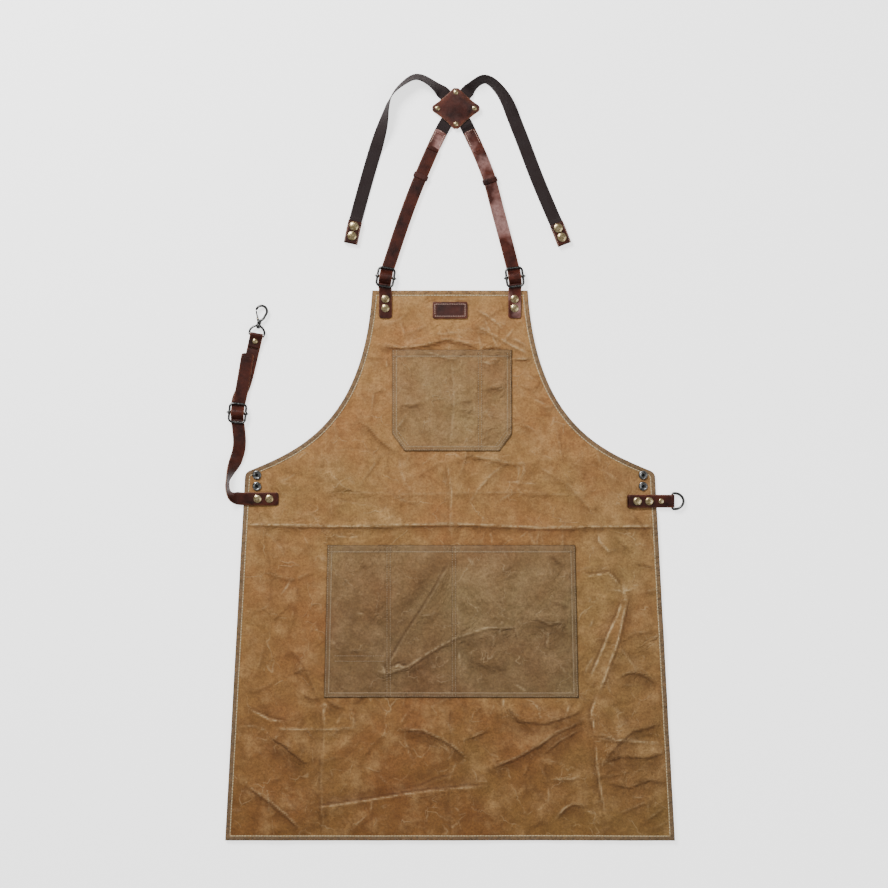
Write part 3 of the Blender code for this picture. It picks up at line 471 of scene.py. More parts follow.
# Creases that only the lap pocket and the bib pocket carry.
LAP_FOLDS = [
    ([(3, 6), (-10, -14), (-24, -40), (-43, -70), (-70, -111), (-89, -144), (-97, -162)],
     1.5, 13.0, 0.55),
    ([(-116, -160), (-96, -166), (-62, -154), (-35, -136), (3, -114), (33, -104), (58, -96),
      (98, -96), (107, -118)], 1.3, 9.0, 0.8),
    ([(-97, -174), (-99, -160), (-106, -148)], 1.5, 3.5, 1.0),
    ([(-58, -158), (-78, -152), (-97, -160)], 1.8, 4.0, 1.0),
    ([(118, -86), (132, -82), (150, -90), (182, -86)], 1.6, 7.0, 0.6),
    ([(147, -98), (148, -112), (145, -130)], 1.0, 3.5, 0.9),
    ([(150, 17), (162, 8), (174, -3)], 1.6, 4.0, 0.2),
    ([(155, -57), (168, -59), (182, -65)], 1.2, 4.0, 0.3),
    ([(62, -98), (66, -118), (60, -136)], 0.8, 3.5, 0.6),
    ([(20, -120), (40, -150), (96, -160)], 0.8, 5.0, 0.2),
    ([(-160, -130), (-130, -132), (-104, -138)], 0.7, 3.5, 0.6),
]
BIB_FOLDS = [
    ([(-78, 244), (-58, 241), (-38, 246)], 1.6, 4.0, 0.5),
    ([(10, 246), (24, 248), (40, 251)], 1.3, 4.0, 0.4),
    ([(-46, 323), (-16, 316), (18, 308)], 1.1, 4.0, 0.9),
    ([(-78, 312), (-60, 314), (-48, 318)], 0.7, 3.5, 0.3),
    ([(38, 308), (62, 304), (78, 308)], 0.9, 4.0, 0.9),
    ([(50, 266), (66, 268), (85, 266)], 1.4, 4.0, 0.3),
    ([(2, 320), (6, 250), (0, 178)], 0.7, 4.0, 0.6),
    ([(10, 236), (24, 232), (38, 238)], 0.8, 4.0, 0.2),
]


def random_creases(seed, count, box, pull, longest=70.0):
    """Short crumples scattered over box, crowding towards pull."""
    crowd = 260.0               # how far from pull the crowd reaches
    draw = np.random.RandomState(seed)
    made = []
    while len(made) < count:
        x, y = draw.uniform(box[0], box[2]), draw.uniform(box[1], box[3])
        if draw.rand() > 0.35 + 0.65 * np.exp(-hypot(x - pull[0], y - pull[1]) / crowd):
            continue
        angle = draw.uniform(0, pi)
        length = draw.uniform(18, longest)
        bend = draw.uniform(-0.5, 0.5)
        start = np.array((x, y))
        turn = np.array((cos(angle), sin(angle)))
        side = np.array((-turn[1], turn[0]))
        line = [tuple(start + turn * length * t + side * bend * length * t * (1 - t))
                for t in (0, 0.33, 0.66, 1)]
        rise, width, worn = (draw.uniform(*ends)
                             for ends in ((0.25, 0.85), (2.5, 4.5), (0.1, 0.75)))
        made.append((line, rise, width, worn))
    return made


CRUMPLES = random_creases(7, 300, (-335, -415, 335, 400), (240, -260))
CRUMPLES += random_creases(12, 70, (-150, 70, 220, 375), (60, 220), 95.0)


def relief(x, y, folds):
    """Height, paleness and shade of a set of creases. Each has a gentle flank on one side of its
    line and a steep one, in shade, on the other, and fades at its ends."""
    end_fade = 22.0
    height, pale, shade = (np.zeros(x.shape) for _ in range(3))
    for line, rise, width, worn in folds:
        xs, ys = zip(*line)
        reach = 7 * width + 4
        near = ((x > min(xs) - reach) & (x < max(xs) + reach)
                & (y > min(ys) - reach) & (y < max(ys) + reach))
        if not near.any():
            continue
        d, side, along, length = line_distance(x[near], y[near], line)
        fade = np.minimum(along, length - along) / min(end_fade, length * 0.4)
        fade = np.clip(fade + 0.12, 0, 1)
        signed = d * side
        gentle = np.exp(-np.abs(signed) / (2.6 * width))
        steep = np.exp(-np.hypot(signed, 1.6) / max(4.0, 0.75 * width))
        height[near] += 1.35 * rise * fade * np.where(signed > 0, gentle, steep)
        ridge = worn * fade * np.exp(-((signed - 0.4) / 2.6) ** 2)
        pale[near] = np.maximum(pale[near], ridge)
        # painted shade: a thin dark line by the steep flank and a broad one past it
        line_shade = min(1.0, rise * 0.55) * np.exp(-((signed + 2.8) / 2.3) ** 2)
        broad = min(0.5, rise * 0.22) * np.exp(-((signed + 1.5 * width) / (1.3 * width)) ** 2)
        shade[near] = np.maximum(shade[near], fade * np.maximum(line_shade, broad))
    return height, pale, shade


def swell(x, y, size, seed):
    """Soft rolling of the cloth, from 0 to 1.2, in waves of about size."""
    flat = [noise.noise(Vector((a / size, b / size, seed))) for a, b in zip(x.ravel(), y.ravel())]
    return np.clip(np.array(flat).reshape(x.shape) * 0.9 + 0.45, 0, 1.2)


# places where the cloth lies flat: under caps and studs, the label, the hip leather and the straps
HARDWARE = [tuple(middle(n)[0].xy) for n in frame["nodes"]
            if ("_cap_" in n and "tip" not in n) or "stud" in n]
HARDWARE += [(-22, 385), (22, 385), (0, 385), (330, 95), (-308, 99), (-98, 412), (98, 412)]


def calm(x, y):
    """0 under the metalware and leather that lie on the cloth, 1 well away from them."""
    reach = 19.0
    quiet = np.ones(x.shape)
    for at_x, at_y in HARDWARE:
        quiet *= 1 - np.exp(-(np.hypot(x - at_x, y - at_y) / reach) ** 4)
    return quiet


def cloth_height(x, y):
    """Top of the canvas, with how pale and how shaded it is."""
    height, pale, shade = relief(x, y, FOLDS + CRUMPLES)
    low = np.clip((160 - y) / 500, 0, 1)
    crumpled = np.exp(-(np.hypot((x - 262) / 90, (y + 180) / 230)) ** 2)    # right of the pocket
    rolling = (3.4 * swell(x, y, 150.0, 3.0) * (0.45 + 0.55 * low)
               + (1.6 + 2.2 * crumpled) * swell(x, y, 46.0, 9.0)
               + (0.5 + 1.0 * crumpled) * swell(x, y, 19.0, 5.0))
    quiet = calm(x, y)
    return np.maximum((height + rolling) * quiet, 0.0) + CLOTH + 0.25, pale * quiet, shade


# ---- the canvas ----------------------------------------------------------------------------------
# how far from the edge the rows of the hem are
EDGE_ROWS = np.array((0.0, 0.7, 1.8, 3.4, 5.0, 6.4, 7.6, 8.8, 10.6))


def grid_faces(rows, columns):
    return [(r * columns + c, r * columns + c + 1, (r + 1) * columns + c + 1, (r + 1) * columns + c)
            for r in range(rows - 1) for c in range(columns - 1)]


def cloth_sheet(name, x, y, z, material, pale, shade, edge):
    """A grid as cloth of one thickness, with its creases, their painted shade, and distance from
    the edge.
    """
    attributes = {"crease": pale.ravel(), "painted_shade": shade.ravel(), "edge": edge.ravel() * MM}
    points = np.stack([x, y, z], -1).reshape(-1, 3)
    made = piece(name, points, grid_faces(*x.shape), [material], attributes)
    shell = made.modifiers.new("cloth", "SOLIDIFY")
    shell.thickness = CLOTH * MM
    shell.offset = -1.0
    bpy.context.view_layer.update()
    evaluated = made.evaluated_get(bpy.context.evaluated_depsgraph_get())
    mesh = bpy.data.meshes.new_from_object(evaluated)
    made.modifiers.clear()
    made.data = mesh
    return made


def canvas_grid():
    """The grid's x and y: rows across the apron, dense along its whole edge."""
    spacing = 2.7
    inner = np.arange(BOTTOM_Y + 12, TOP_Y - 12, spacing)
    ys = np.concatenate([BOTTOM_Y + EDGE_ROWS, inner[1:], (TOP_Y - EDGE_ROWS)[::-1]])
    half = np.interp(ys, RIGHT[:, 1], RIGHT[:, 0])
    # where the edge slants, the dense rows are spread by as much, evened out over seven rows
    stretch = np.minimum(np.hypot(1, np.gradient(half, ys)), 2.4)
    stretch = np.convolve(np.pad(stretch, 3, "edge"), np.ones(7) / 7, "valid")
    across = np.linspace(-1, 1, int(640 / spacing))
    rows = []
    for h, s in zip(half, stretch):
        left, inside = -h + EDGE_ROWS[:-1] * s, h - EDGE_ROWS[-1] * s
        rows.append(np.concatenate([left, across * inside, -left[::-1]]))
    x = np.array(rows)
    return x, np.repeat(ys[:, None], x.shape[1], axis=1)


def make_canvas():
    x, y = canvas_grid()
    height, pale, shade = cloth_height(x, y)
    d, _, along, _ = line_distance(x, y, OUTLINE)
    hem = np.clip((HEM + 0.8 - d) / 1.6, 0, 1)
    right = np.clip((x - 100) / 200, 0, 1)      # the hem is more puckered on the right
    pucker = np.sin(along * 2 * pi / 8.5 + 2.0 * np.sin(along / 31.0)) * (0.18 + 0.34 * right)
    sew = np.exp(-((d - HEM) / 1.1) ** 2)
    height = height + hem * (0.75 + pucker) - 0.45 * sew - 0.5 * np.exp(-d / 0.9)
    height = np.maximum(height, CLOTH + 0.15)
    sheet = cloth_sheet("canvas", x, y, height, CANVAS, pale, shade, d)
    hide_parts("canvas_bib", "canvas_skirt")
    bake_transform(sheet)


def stitch_mesh(name, rows, material, length=3.0, pitch=4.2, thick=0.42):
    """Rows of stitches that follow lines of (x, y, z): each is a small plump capsule."""
    sides, lift = 6, 0.1
    ring = [(cos(a), sin(a)) for a in circle(sides)]
    # along the stitch: where, how thick, and how high, as shares of its length and thickness
    stations = [(-0.5, 0.35, -0.32), (-0.32, 0.95, 0.02), (0.32, 0.95, 0.02), (0.5, 0.35, -0.32)]
    points, faces = [], []
    for row in rows:
        row = np.asarray(row, float)
        steps = np.linalg.norm(np.diff(row, axis=0), axis=1)
        marks = np.concatenate([[0], np.cumsum(steps)])
        for i in range(int((marks[-1] - 1.0) / pitch)):
            s = 0.5 + pitch * (i + 0.5)
            at, on, back = (np.array([np.interp(place, marks, row[:, k]) for k in range(3)])
                            for place in (s, s + 1.0, s - 1.0))
            ahead = on - back
            ahead /= np.linalg.norm(ahead)
            side = np.cross((0, 0, 1.0), ahead)
            side /= np.linalg.norm(side)
            up = np.cross(ahead, side)
            base = len(points)
            for t, radius, drop in stations:
                centre = at + ahead * length * t + up * (lift + drop * thick)
                points += [centre + (side * a + up * b) * radius * thick for a, b in ring]
            faces += ring_faces(len(stations), sides, base) + end_faces(len(stations), sides, base)
    return piece(name, points, faces, [material])


def fine_line(line):
    """A line of (x, y) with a place about every 3 mm."""
    line = np.asarray(line, float)
    fine = []
    for a, b in zip(line, line[1:]):
        count = max(1, int(np.linalg.norm(b - a) / 3.0))
        fine += [a + (b - a) * i / count for i in range(count)]
    return np.array(fine + [line[-1]])


def make_hem_stitching():
    """Stitches along the whole edge: round the sides and the neck, and along the bottom."""
    tangent = np.gradient(OUTLINE, axis=0)
    tangent /= np.linalg.norm(tangent, axis=1)[:, None] + 1e-12
    moved = OUTLINE + np.column_stack([-tangent[:, 1], tangent[:, 0]]) * HEM
    d = line_distance(moved[:, 0], moved[:, 1], OUTLINE)[0]
    corner = (BOTTOM_HALF - HEM, BOTTOM_Y + HEM)
    rows = []
    for run in (moved[d > HEM - 0.4], [(-corner[0], corner[1]), corner]):
        line = fine_line(run)
        rows.append(np.column_stack([line, cloth_height(line[:, 0], line[:, 1])[0] + 0.35]))
    stitches = stitch_mesh("hem_stitching", rows, CREAM, length=3.3, thick=0.6)
    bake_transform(stitches)


# ---- pockets -------------------------------------------------------------------------------------
POCKET_HEM = 10.0           # from the mouth to its row of stitches
CUT = 1.35                  # how much taller than wide a cut corner is
SEAMS = (2.0, 7.0)          # the two rows of stitches inside the edge
TWIN = (-2.5, 2.5)          # the two rows beside each divider


def pocket_line(low, high, depth, chamfer, flare):
    """A pocket's outline, depth inside its edge, from its upper left corner down and up again."""
    left, right, foot = low.x + depth, high.x - depth, low.y + depth
    corners = [(left, foot), (right, foot)]
    if chamfer:
        corners = [(left, foot + chamfer * CUT), (left + chamfer, foot),
                   (right - chamfer, foot), (right, foot + chamfer * CUT)]
    return [(left + flare, high.y), *corners, (right - flare, high.y)]


def make_pocket(node, body, folds, creases, dividers, cross_rows=(), chamfer=0.0, flare=0.0):
    """A patch pocket: lies down at its seams and stands a little open along its hemmed mouth.
    creases are the seed and the number of its own small ones; a cross row is (start, end, y)."""
    low, high = (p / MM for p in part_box(node))
    spacing = 2.6
    rows = int((high.y - low.y) / spacing)
    u, v = np.meshgrid(np.linspace(0, 1, int((high.x - low.x) / spacing)), np.linspace(0, 1, rows))
    y = low.y + (high.y - low.y) * v
    inset = flare * v
    if chamfer:
        inset = inset + np.clip(chamfer * (1 - (y - low.y) / (chamfer * CUT)), 0, chamfer)
    x = (low.x + inset) + (high.x - low.x - 2 * inset) * u

    # the slack of each compartment grows from the foot to the mouth
    seams = [low.x + flare, *dividers, high.x - flare]
    slack = np.zeros(x.shape)
    for a, b in zip(seams, seams[1:]):
        bulge = np.sin(pi * np.clip((x - a) / (b - a), 0, 1)) ** 0.8
        slack = np.maximum(slack, bulge * min(4.2, 0.05 * (b - a) + 1.0))
    slack *= np.clip(v * 1.2, 0, 1) ** 1.5

    small = random_creases(*creases, (low.x, low.y, high.x, high.y), (high.x, low.y), 46.0)
    own, own_pale, own_shade = relief(x, y, folds + small)
    height, pale, shade = cloth_height(x, y)
    edge = np.minimum.reduce([(x - low.x - inset), (high.x - inset - x), (y - low.y)])
    rim = np.minimum(edge, (high.y - y) * HEM / POCKET_HEM)
    quiet = np.clip(edge / 9.0, 0, 1)
    mouth = np.clip((y - (high.y - POCKET_HEM)) / 1.2, 0, 1)
    pull = np.zeros(x.shape)
    for at in dividers:
        for shift in TWIN:
            pull += np.exp(-((x - at - shift) / 1.2) ** 2)
    for depth in SEAMS:
        pull += np.exp(-((edge - depth) / 1.0) ** 2) * 0.8
    pull += np.exp(-((y - high.y + POCKET_HEM) / 1.1) ** 2)
    pull = np.clip(pull, 0, 1)
    z = height + CLOTH + 0.25 + slack + np.maximum(own * quiet, -0.4)
    z += 0.45 * mouth - 0.35 * pull
    # painted shade of the pocket's own creases and along its seams and dividers
    shade = np.maximum(own_shade * quiet, 0.45 * pull)
    pale = np.maximum.reduce([own_pale * quiet, pale * 0.5, 0.12 * np.exp(-edge / 1.2)])
    sheet = cloth_sheet(node + "_cloth", x, y, z, POCKET, pale, shade, rim)
    settle(sheet, body, [node])

    lines = [pocket_line(low, high, depth, chamfer, flare) for depth in SEAMS]
    lines += [[(at + shift, low.y + 2), (at + shift, high.y)] for at in dividers for shift in TWIN]
    lines += [[(start, at + shift), (end, at + shift)] for start, end, at in cross_rows
              for shift in (-4, 4)]
    hem_y = high.y - POCKET_HEM
    lines.append([(low.x + flare + 2, hem_y), (high.x - flare - 2, hem_y)])
    stitches = []
    for line in map(fine_line, lines):
        at_row = (line[:, 1] - low.y) / (high.y - low.y) * (rows - 1)
        nearest = np.clip(np.round(at_row), 0, rows - 1).astype(int)
        tops = [np.interp(px, x[row], z[row]) for px, row in zip(line[:, 0], nearest)]
        stitches.append(np.column_stack([line, np.array(tops) + 0.1]))
    settle(stitch_mesh(node + "_cloth_stitching", stitches, TAN, length=2.3,
                       pitch=3.6), body)


# ---- straps --------------------------------------------------------------------------------------
def smooth_line(points, spacing):
    """Places about every spacing mm along a Catmull-Rom curve through points of any width. The
    second number, a strap's height, stays between those of its neighbours."""
    dots = [np.array(p, float) for p in points]
    dots = [2 * dots[0] - dots[1]] + dots + [2 * dots[-1] - dots[-2]]
    line = []
    for i in range(1, len(dots) - 2):
        a, b, c, d = dots[i - 1:i + 3]
        count = max(2, round(float(np.linalg.norm((c - b)[:2])) / spacing))
        for k in range(count):
            t = k / count
            spot = 0.5 * (2 * b + (c - a) * t + (2 * a - 5 * b + 4 * c - d) * t * t
                          + (3 * b - a - 3 * c + d) * t ** 3)
            if len(spot) > 2:
                spot[1] = np.clip(spot[1], min(b[1], c[1]) - 0.05, max(b[1], c[1]) + 0.05)
            line.append(spot)
    line.append(dots[-2])
    return line


class Plan:
    """A plan line measured along its length: at(s) gives the place and the heading there."""

    def __init__(self, points):
        self.route = [Vector(p) for p in smooth_line(points, 4.0)]
        self.marks = [0.0]
        for a, b in zip(self.route, self.route[1:]):
            self.marks.append(self.marks[-1] + (b - a).length)
        self.length = self.marks[-1]
        self.held = None

    def at(self, s):
        if self.held:
            middle_s, half, spot, heading = self.held
            if abs(s - middle_s) <= half:
                return spot + heading * (s - middle_s), heading
        inside = min(max(s, 0.0), self.length)
        i = max(k for k in range(len(self.marks) - 1) if self.marks[k] <= inside + 1e-9)
        a, b = self.route[i], self.route[i + 1]
        ahead = (self.route[min(i + 2, len(self.route) - 1)] - a).normalized()
        behind = (b - self.route[max(i - 1, 0)]).normalized()
        share = (inside - self.marks[i]) / (self.marks[i + 1] - self.marks[i])
        heading = behind.lerp(ahead, share).normalized()
        return a.lerp(b, share) + heading * (s - inside), heading

    def nearest(self, x, y):
        target = Vector((x, y))
        return min(range(int(self.length)), key=lambda s: (self.at(s)[0] - target).length)

    def first_past(self, y):
        return next(s for s in range(int(self.length)) if self.at(s)[0].y > y)

    def hold(self, s):
        """Keep the plan straight where a buckle sits on it."""
        self.held = (s, 15.0, *self.at(s))


def spread(start, end, spacing=14.0):
    """Places from start to end, about spacing apart."""
    count = max(1, round(abs(end - start) / spacing))
    return [start + (end - start) * i / count for i in range(count + 1)]


def over_bar(s0):
    """(s, z) of the layer that crosses over a buckle's bar at s0."""
    low = [(-10.4, FRONT_Z), (-9.2, FRONT_Z + 0.5), (-3.6, CROWN_Z - 1.0)]
    wave = low + [(-2.2, CROWN_Z), (2.2, CROWN_Z)] + [(-s, z) for s, z in reversed(low)]
    return [(s0 + s, z) for s, z in wave]


def curl(s0):
    """(s, z) of the layer that is curled round a buckle's bar at s0, from its end."""
    around = [(s0 + LOOP_R * cos(a), BUCKLE_Z + LOOP_R * sin(a))
              for a in [radians(6 + 33 * i) for i in range(9)]]
    return around + [(s0 + 6.0, BACK_Z + 0.6), (s0 + 8.5, BACK_Z)]


def fold_round(s, z, radius, steps=8):
    """(s, z) of a fold of leather round (s, z), from below it to above it."""
    return [(s + radius * sin(a), z - radius * cos(a)) for a in half_turn(steps)]


def between(table, s):
    """The second value of a table at s, in a straight line between its rows."""
    return float(np.interp(s, *zip(*table)))


def rounded_start(s, z):
    """A strap's first end, square with rounded corners."""
    return [(s + on, z, 0, share) for on, share in
            ((0.0, 0.72), (0.5, 0.84), (1.4, 0.93), (3.2, 1.0))]


def rounded_tip(s, z):
    """A strap's last end rounded off at s."""
    return [(s - back, z, 0, share) for back, share in
            ((6.0, 1.0), (3.0, 0.97), (1.2, 0.84), (0.3, 0.62), (0.0, 0.4))]


def section(width, thickness, crown):
    """A strap's section as (across, up), counterclockwise from its lower right corner: rounded
    corners and a raised middle."""
    w, t = width / 2, thickness / 2
    corner = thickness * 0.42
    turn = [radians(a) for a in (-90, -45, 0, 45, 90)]
    right = [(w - corner + corner * cos(a),
              corner * sin(a) + (t - corner) * (1 if a > 0 else -1 if a < 0 else 0)) for a in turn]
    top = [(w * f, t + crown * (1 - f * f)) for f in (0.72, 0.36, 0.0, -0.36, -0.72)]
    left = [(-x, z) for x, z in reversed(right)]
    bottom = [(w * f, -t) for f in (-0.5, 0.0, 0.5)]
    return right + top + left + bottom


CUT_SIDES = {1, 2, 11, 12}      # the sides of a section that are cut edges


def sweep(name, plan, stations, width, thickness, face, edge=None, crown=0.12):
    """A strap along plan: stations are (s, z), (s, z, roll) or (s, z, roll, share of the width).
    Also returns its (centre, heading, roll, share) at each ring."""
    shape = section(width, thickness, crown)
    count = len(shape)
    places = []
    for s, z, roll, share in smooth_line([(*s, *(0.0, 1.0)[len(s) - 2:]) for s in stations], 3.0):
        spot, heading = plan.at(s)
        lift = width / 2 * abs(sin(radians(roll)))
        places.append((Vector((spot.x, spot.y, z + lift)), heading, radians(roll), share))
    points, along, across = [], [], []
    walked = 0.0
    for i, (centre, heading, roll, share) in enumerate(places):
        ahead = (places[min(i + 1, len(places) - 1)][0] - places[max(i - 1, 0)][0]).normalized()
        flat = Vector((-heading.y, heading.x, 0))
        side = (-flat * cos(roll) - Vector((0, 0, sin(roll)))).normalized()
        up = side.cross(ahead).normalized()
        if i:
            walked += (centre - places[i - 1][0]).length
        for a, b in shape:
            points.append(centre + side * a * share + up * b)
            along.append(walked * MM)
            across.append(a / (width / 2))
    faces = ring_faces(len(places), count) + end_faces(len(places), count)
    attributes = {"along": along, "across": across}
    made = piece(name, points, faces, [face, edge or face], attributes)
    turn_outwards(made)
    made.data.shade_smooth()
    if edge:
        for polygon in made.data.polygons:
            i = polygon.index
            if i >= (len(places) - 1) * count or i % count in CUT_SIDES:
                polygon.material_index = 1
    return made, places


def leather_strap(name, plan, stations, thickness=BACK_T, face=LEATHER, width=STRAP_W):
    """A swept strap of leather, with raw edges."""
    return sweep(name, plan, stations, width, thickness, face, EDGE)


def strap_rows(places, inset, width, lift):
    """Lines along a strap, inset from both its sides, for its stitches."""
    rows = []
    for sign in (-1, 1):
        row = []
        for centre, heading, roll, share in places:
            side = Vector((-heading.y, heading.x, 0)) * cos(roll) + Vector((0, 0, sin(roll)))
            row.append(centre + side * sign * (width / 2 * share - inset) + Vector((0, 0, lift)))
        rows.append(row)
    return rows


SHOULDER_PLANS = {
    "left": [(-98, 372), (-98, 410), (-97.5, 435), (-87, 470), (-65.3, 534), (-42.5, 592),
             (-14, 655), (9, 691), (27, 717), (54, 734.5), (82, 709), (105, 656), (133, 583),
             (163, 512), (174, 484)],
    "right": [(98, 372), (98, 410), (98, 435), (90, 470), (73, 534), (57, 592), (30, 655),
              (9, 691), (-13, 717), (-47, 738), (-72, 727), (-91, 704), (-103, 662), (-123, 595),
              (-143, 522), (-151, 485)],
}
# how far the webbing is rolled on its side, by its distance past the crossing
WEB_ROLLS = {
    "left": [(0, 0), (24, 0), (44, 52), (70, 58), (100, 40), (140, 0)],
    "right": [(0, 0), (24, 0), (50, 50), (80, 55), (104, 68), (128, 84), (150, 66), (176, 34),
              (212, 0)],
}
TIP_LENGTH, TIP_W, TIP_Z, TIP_R = 34.0, 21.0, 3.7, 1.6


def make_shoulder(side):
    """Both leather layers of a shoulder strap, its webbing, and the leather tip at its end."""
    plan = Plan(SHOULDER_PLANS[side])
    x = STRAP_X[side]
    fold, buckle_s, start = (plan.nearest(x, y) for y in (418.5, 435.0, 373.0))
    plan.hold(buckle_s)
    free, sewn = plan.first_past(632.0), plan.first_past(657.0)     # front and rear layer's ends
    stations = [*rounded_start(start, ANCHOR_Z), (start + 8, ANCHOR_Z), (fold - 10, ANCHOR_Z),
                (fold - 4, ANCHOR_Z + 0.5), (fold, FRONT_Z), *over_bar(buckle_s)]
    stations += [(s, FRONT_Z) for s in spread(buckle_s + 13, free - 7)] + rounded_tip(free, FRONT_Z)
    strap, _ = leather_strap(f"shoulder_strap_{side}_leather", plan, stations, STRAP_T,
                             LEATHER if side == "left" else SHEEN_PAINTED_LEATHER)
    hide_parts(f"bib_strap_end_{side}", f"shoulder_strap_{side}")
    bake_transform(strap)

    back = curl(buckle_s) + [(s, BACK_Z) for s in spread(buckle_s + 13, sewn - 7)]
    back += rounded_tip(sewn, BACK_Z)
    leather, places = leather_strap(f"back_strap_{side}_leather", plan, back, face=SHEEN_PAINTED_LEATHER)
    settle(leather, "harness", [f"back_strap_{side}"])
    # the rear layer is stitched beyond the end of the front one
    first = next(i for i, p in enumerate(places) if i > 40 and plan.at(free + 2)[0].y < p[0].y)
    rows = strap_rows(places[first:-4], 2.6, STRAP_W, BACK_T / 2)
    rows.append([row[-1] for row in rows])
    settle(stitch_mesh(f"back_strap_{side}_stitching", rows, ROSE, length=2.2, pitch=2.8,
                       thick=0.4), "harness")

    tip, cross = int(plan.length) - 1.0, plan.nearest(*CROSSING)
    web = [(free + 4, WEB_Z), (cross - 38.5, WEB_Z)]
    web += [(s, CROSSING_Z[side]) for s in spread(cross - 31.5, cross + 32, 9.0)]
    web += [(s, WEB_Z, between(WEB_ROLLS[side], s - cross))
            for s in spread(cross + 38, tip - 46, 10.0)]
    web += [(tip - 40, WEB_Z + 0.8), (tip - TIP_LENGTH - 1, TIP_Z), (tip - 3.5, TIP_Z)]
    webbing, _ = sweep(f"webbing_{side}_strap", plan, web, WEB_W, WEB_T, WEBBING,
                       crown=0.0)
    settle(webbing, "harness", [f"webbing_{side}"])
    ends = [(tip - TIP_LENGTH, TIP_Z - TIP_R), *fold_round(tip - 1.8, TIP_Z, TIP_R),
            (tip - TIP_LENGTH, TIP_Z + TIP_R)]
    leather, places = leather_strap(f"strap_tip_{side}_leather", plan, ends, 1.4, width=TIP_W)
    settle(leather, "harness", [f"strap_tip_{side}"])
    upper = [place for place in places if place[0].z > TIP_Z + 1.4]
    rows = strap_rows(upper[1:-1], 1.6, TIP_W, 0.72)
    settle(stitch_mesh(f"strap_tip_{side}_stitching", rows, ROSE, length=1.9, pitch=2.8,
                       thick=0.28), "harness")
    make_keeper(side)


# ---- leather loops and plates --------------------------------------------------------------------
def corner_arcs(width, height, radius, steps):
    """A rectangle's outline as four corner arcs, counterclockwise from its right-hand side."""
    line = []
    for k, (sx, sy) in enumerate(((1, 1), (-1, 1), (-1, -1), (1, -1))):
        for i in range(steps + 1):
            a = pi / 2 * (k + i / steps)
            line.append((sx * (width / 2 - radius) + radius * cos(a),
                         sy * (height / 2 - radius) + radius * sin(a)))
    return line


def make_keeper(side):
    """A flat leather loop round both layers of a shoulder strap."""
    wall, depth = 1.1, 8.0
    centre, low, high = middle(f"keeper_{side}")
    inner_w, inner_h = STRAP_W + 1.0, high - low - 2.4
    outer_w, outer_h = inner_w + 2 * wall, inner_h + 2 * wall
    outer = corner_arcs(outer_w, outer_h, min(1.2 + wall, outer_h / 2 * 0.9), 5)
    inner = corner_arcs(inner_w, inner_h, min(1.2, inner_h / 2 * 0.9), 5)
    ahead = Vector(joints[f"keeper_slide_{side}"]["axis"])
    across = Vector((ahead.y, -ahead.x, 0))
    centre.z = (low + high) / 2
    # rings of (outline, place along the strap, how far the outline swells)
    rings = [(outer, -depth / 2 + 0.4, -0.15), (outer, -depth / 2 + 1.2, 0), (outer, 0, 0.12),
             (outer, depth / 2 - 1.2, 0), (outer, depth / 2 - 0.4, -0.15), (inner, depth / 2, 0),
             (inner, -depth / 2, 0)]
    points = []
    for outline, place, grow in rings:
        for a, b in outline:
            out = Vector((a, b)).normalized() * grow
            points.append(centre + across * (a + out.x) + ahead * place + Vector((0, 0, b + out.y)))
    keeper = piece(f"keeper_{side}_loop", points, ring_faces(len(rings), len(outer), closed=True),
                   [GLOSSY], {"across": np.zeros(len(points))})
    turn_outwards(keeper)
    settle(keeper, f"keeper_{side}", [f"keeper_{side}"])


def leather_plate(name, outline, z, thickness, body, node, dome):
    """A leather plate: rings of its outline shrink towards its middle over a softly raised top."""
    outline = np.asarray(outline, float)
    centre = outline.mean(0)
    # (share of the outline, share of the thickness): up the cut edge, then in over the top
    side = [(0.985, 0.0), (1.0, 0.25), (1.0, 0.62), (0.99, 0.86)]
    rings = side + [(share, 1.0) for share in (0.965, 0.9, 0.8, 0.66, 0.5, 0.34, 0.17)]
    points, across = [], []
    for k, (share, up) in enumerate(rings):
        for p in outline:
            q = centre + (p - centre) * share
            height = z + thickness * up
            if k >= len(side):
                rough = 0.10 * noise.noise(Vector((*(q / 9), 4.0)))
                height += dome * (1 - share ** 2) + rough
            points.append((*q, height))
            across.append(share)
    points.append((*centre, z + thickness + dome))
    across.append(0.0)
    count, top = len(outline), len(points) - 1
    bottom, last = end_faces(len(rings), count)
    fan = [(a, b, top) for a, b in zip(last, last[1:] + last[:1])]
    made = piece(name, points, ring_faces(len(rings), count) + fan + [bottom],
                 [GLOSSY, EDGE], {"across": across})
    turn_outwards(made)
    for polygon in made.data.polygons[:(len(side) - 1) * count]:
        polygon.material_index = 1
    settle(made, body, [node])


def rounded(points, radius, sag=0.0):
    """A closed outline with rounded corners and, with sag, sides that bow slightly inwards."""
    corner_steps, side_steps = 5, 8
    line = []
    for i, here in enumerate(points):
        near = here, points[i - 1], points[(i + 1) % len(points)]
        here, back, on = (np.array(p, float) for p in near)
        a = here + (back - here) / np.linalg.norm(back - here) * radius
        b = here + (on - here) / np.linalg.norm(on - here) * radius
        for t in np.linspace(0, 1, corner_steps + 1):
            line.append((1 - t) ** 2 * a + 2 * (1 - t) * t * here + t * t * b)
        end = on + (here - on) / np.linalg.norm(here - on) * radius
        inward = -np.array(((on - here)[1], -(on - here)[0])) / np.linalg.norm(on - here)
        for k in range(1, side_steps):
            t = k / side_steps
            line.append(b + (end - b) * t + inward * sag * 4 * t * (1 - t))
    return line


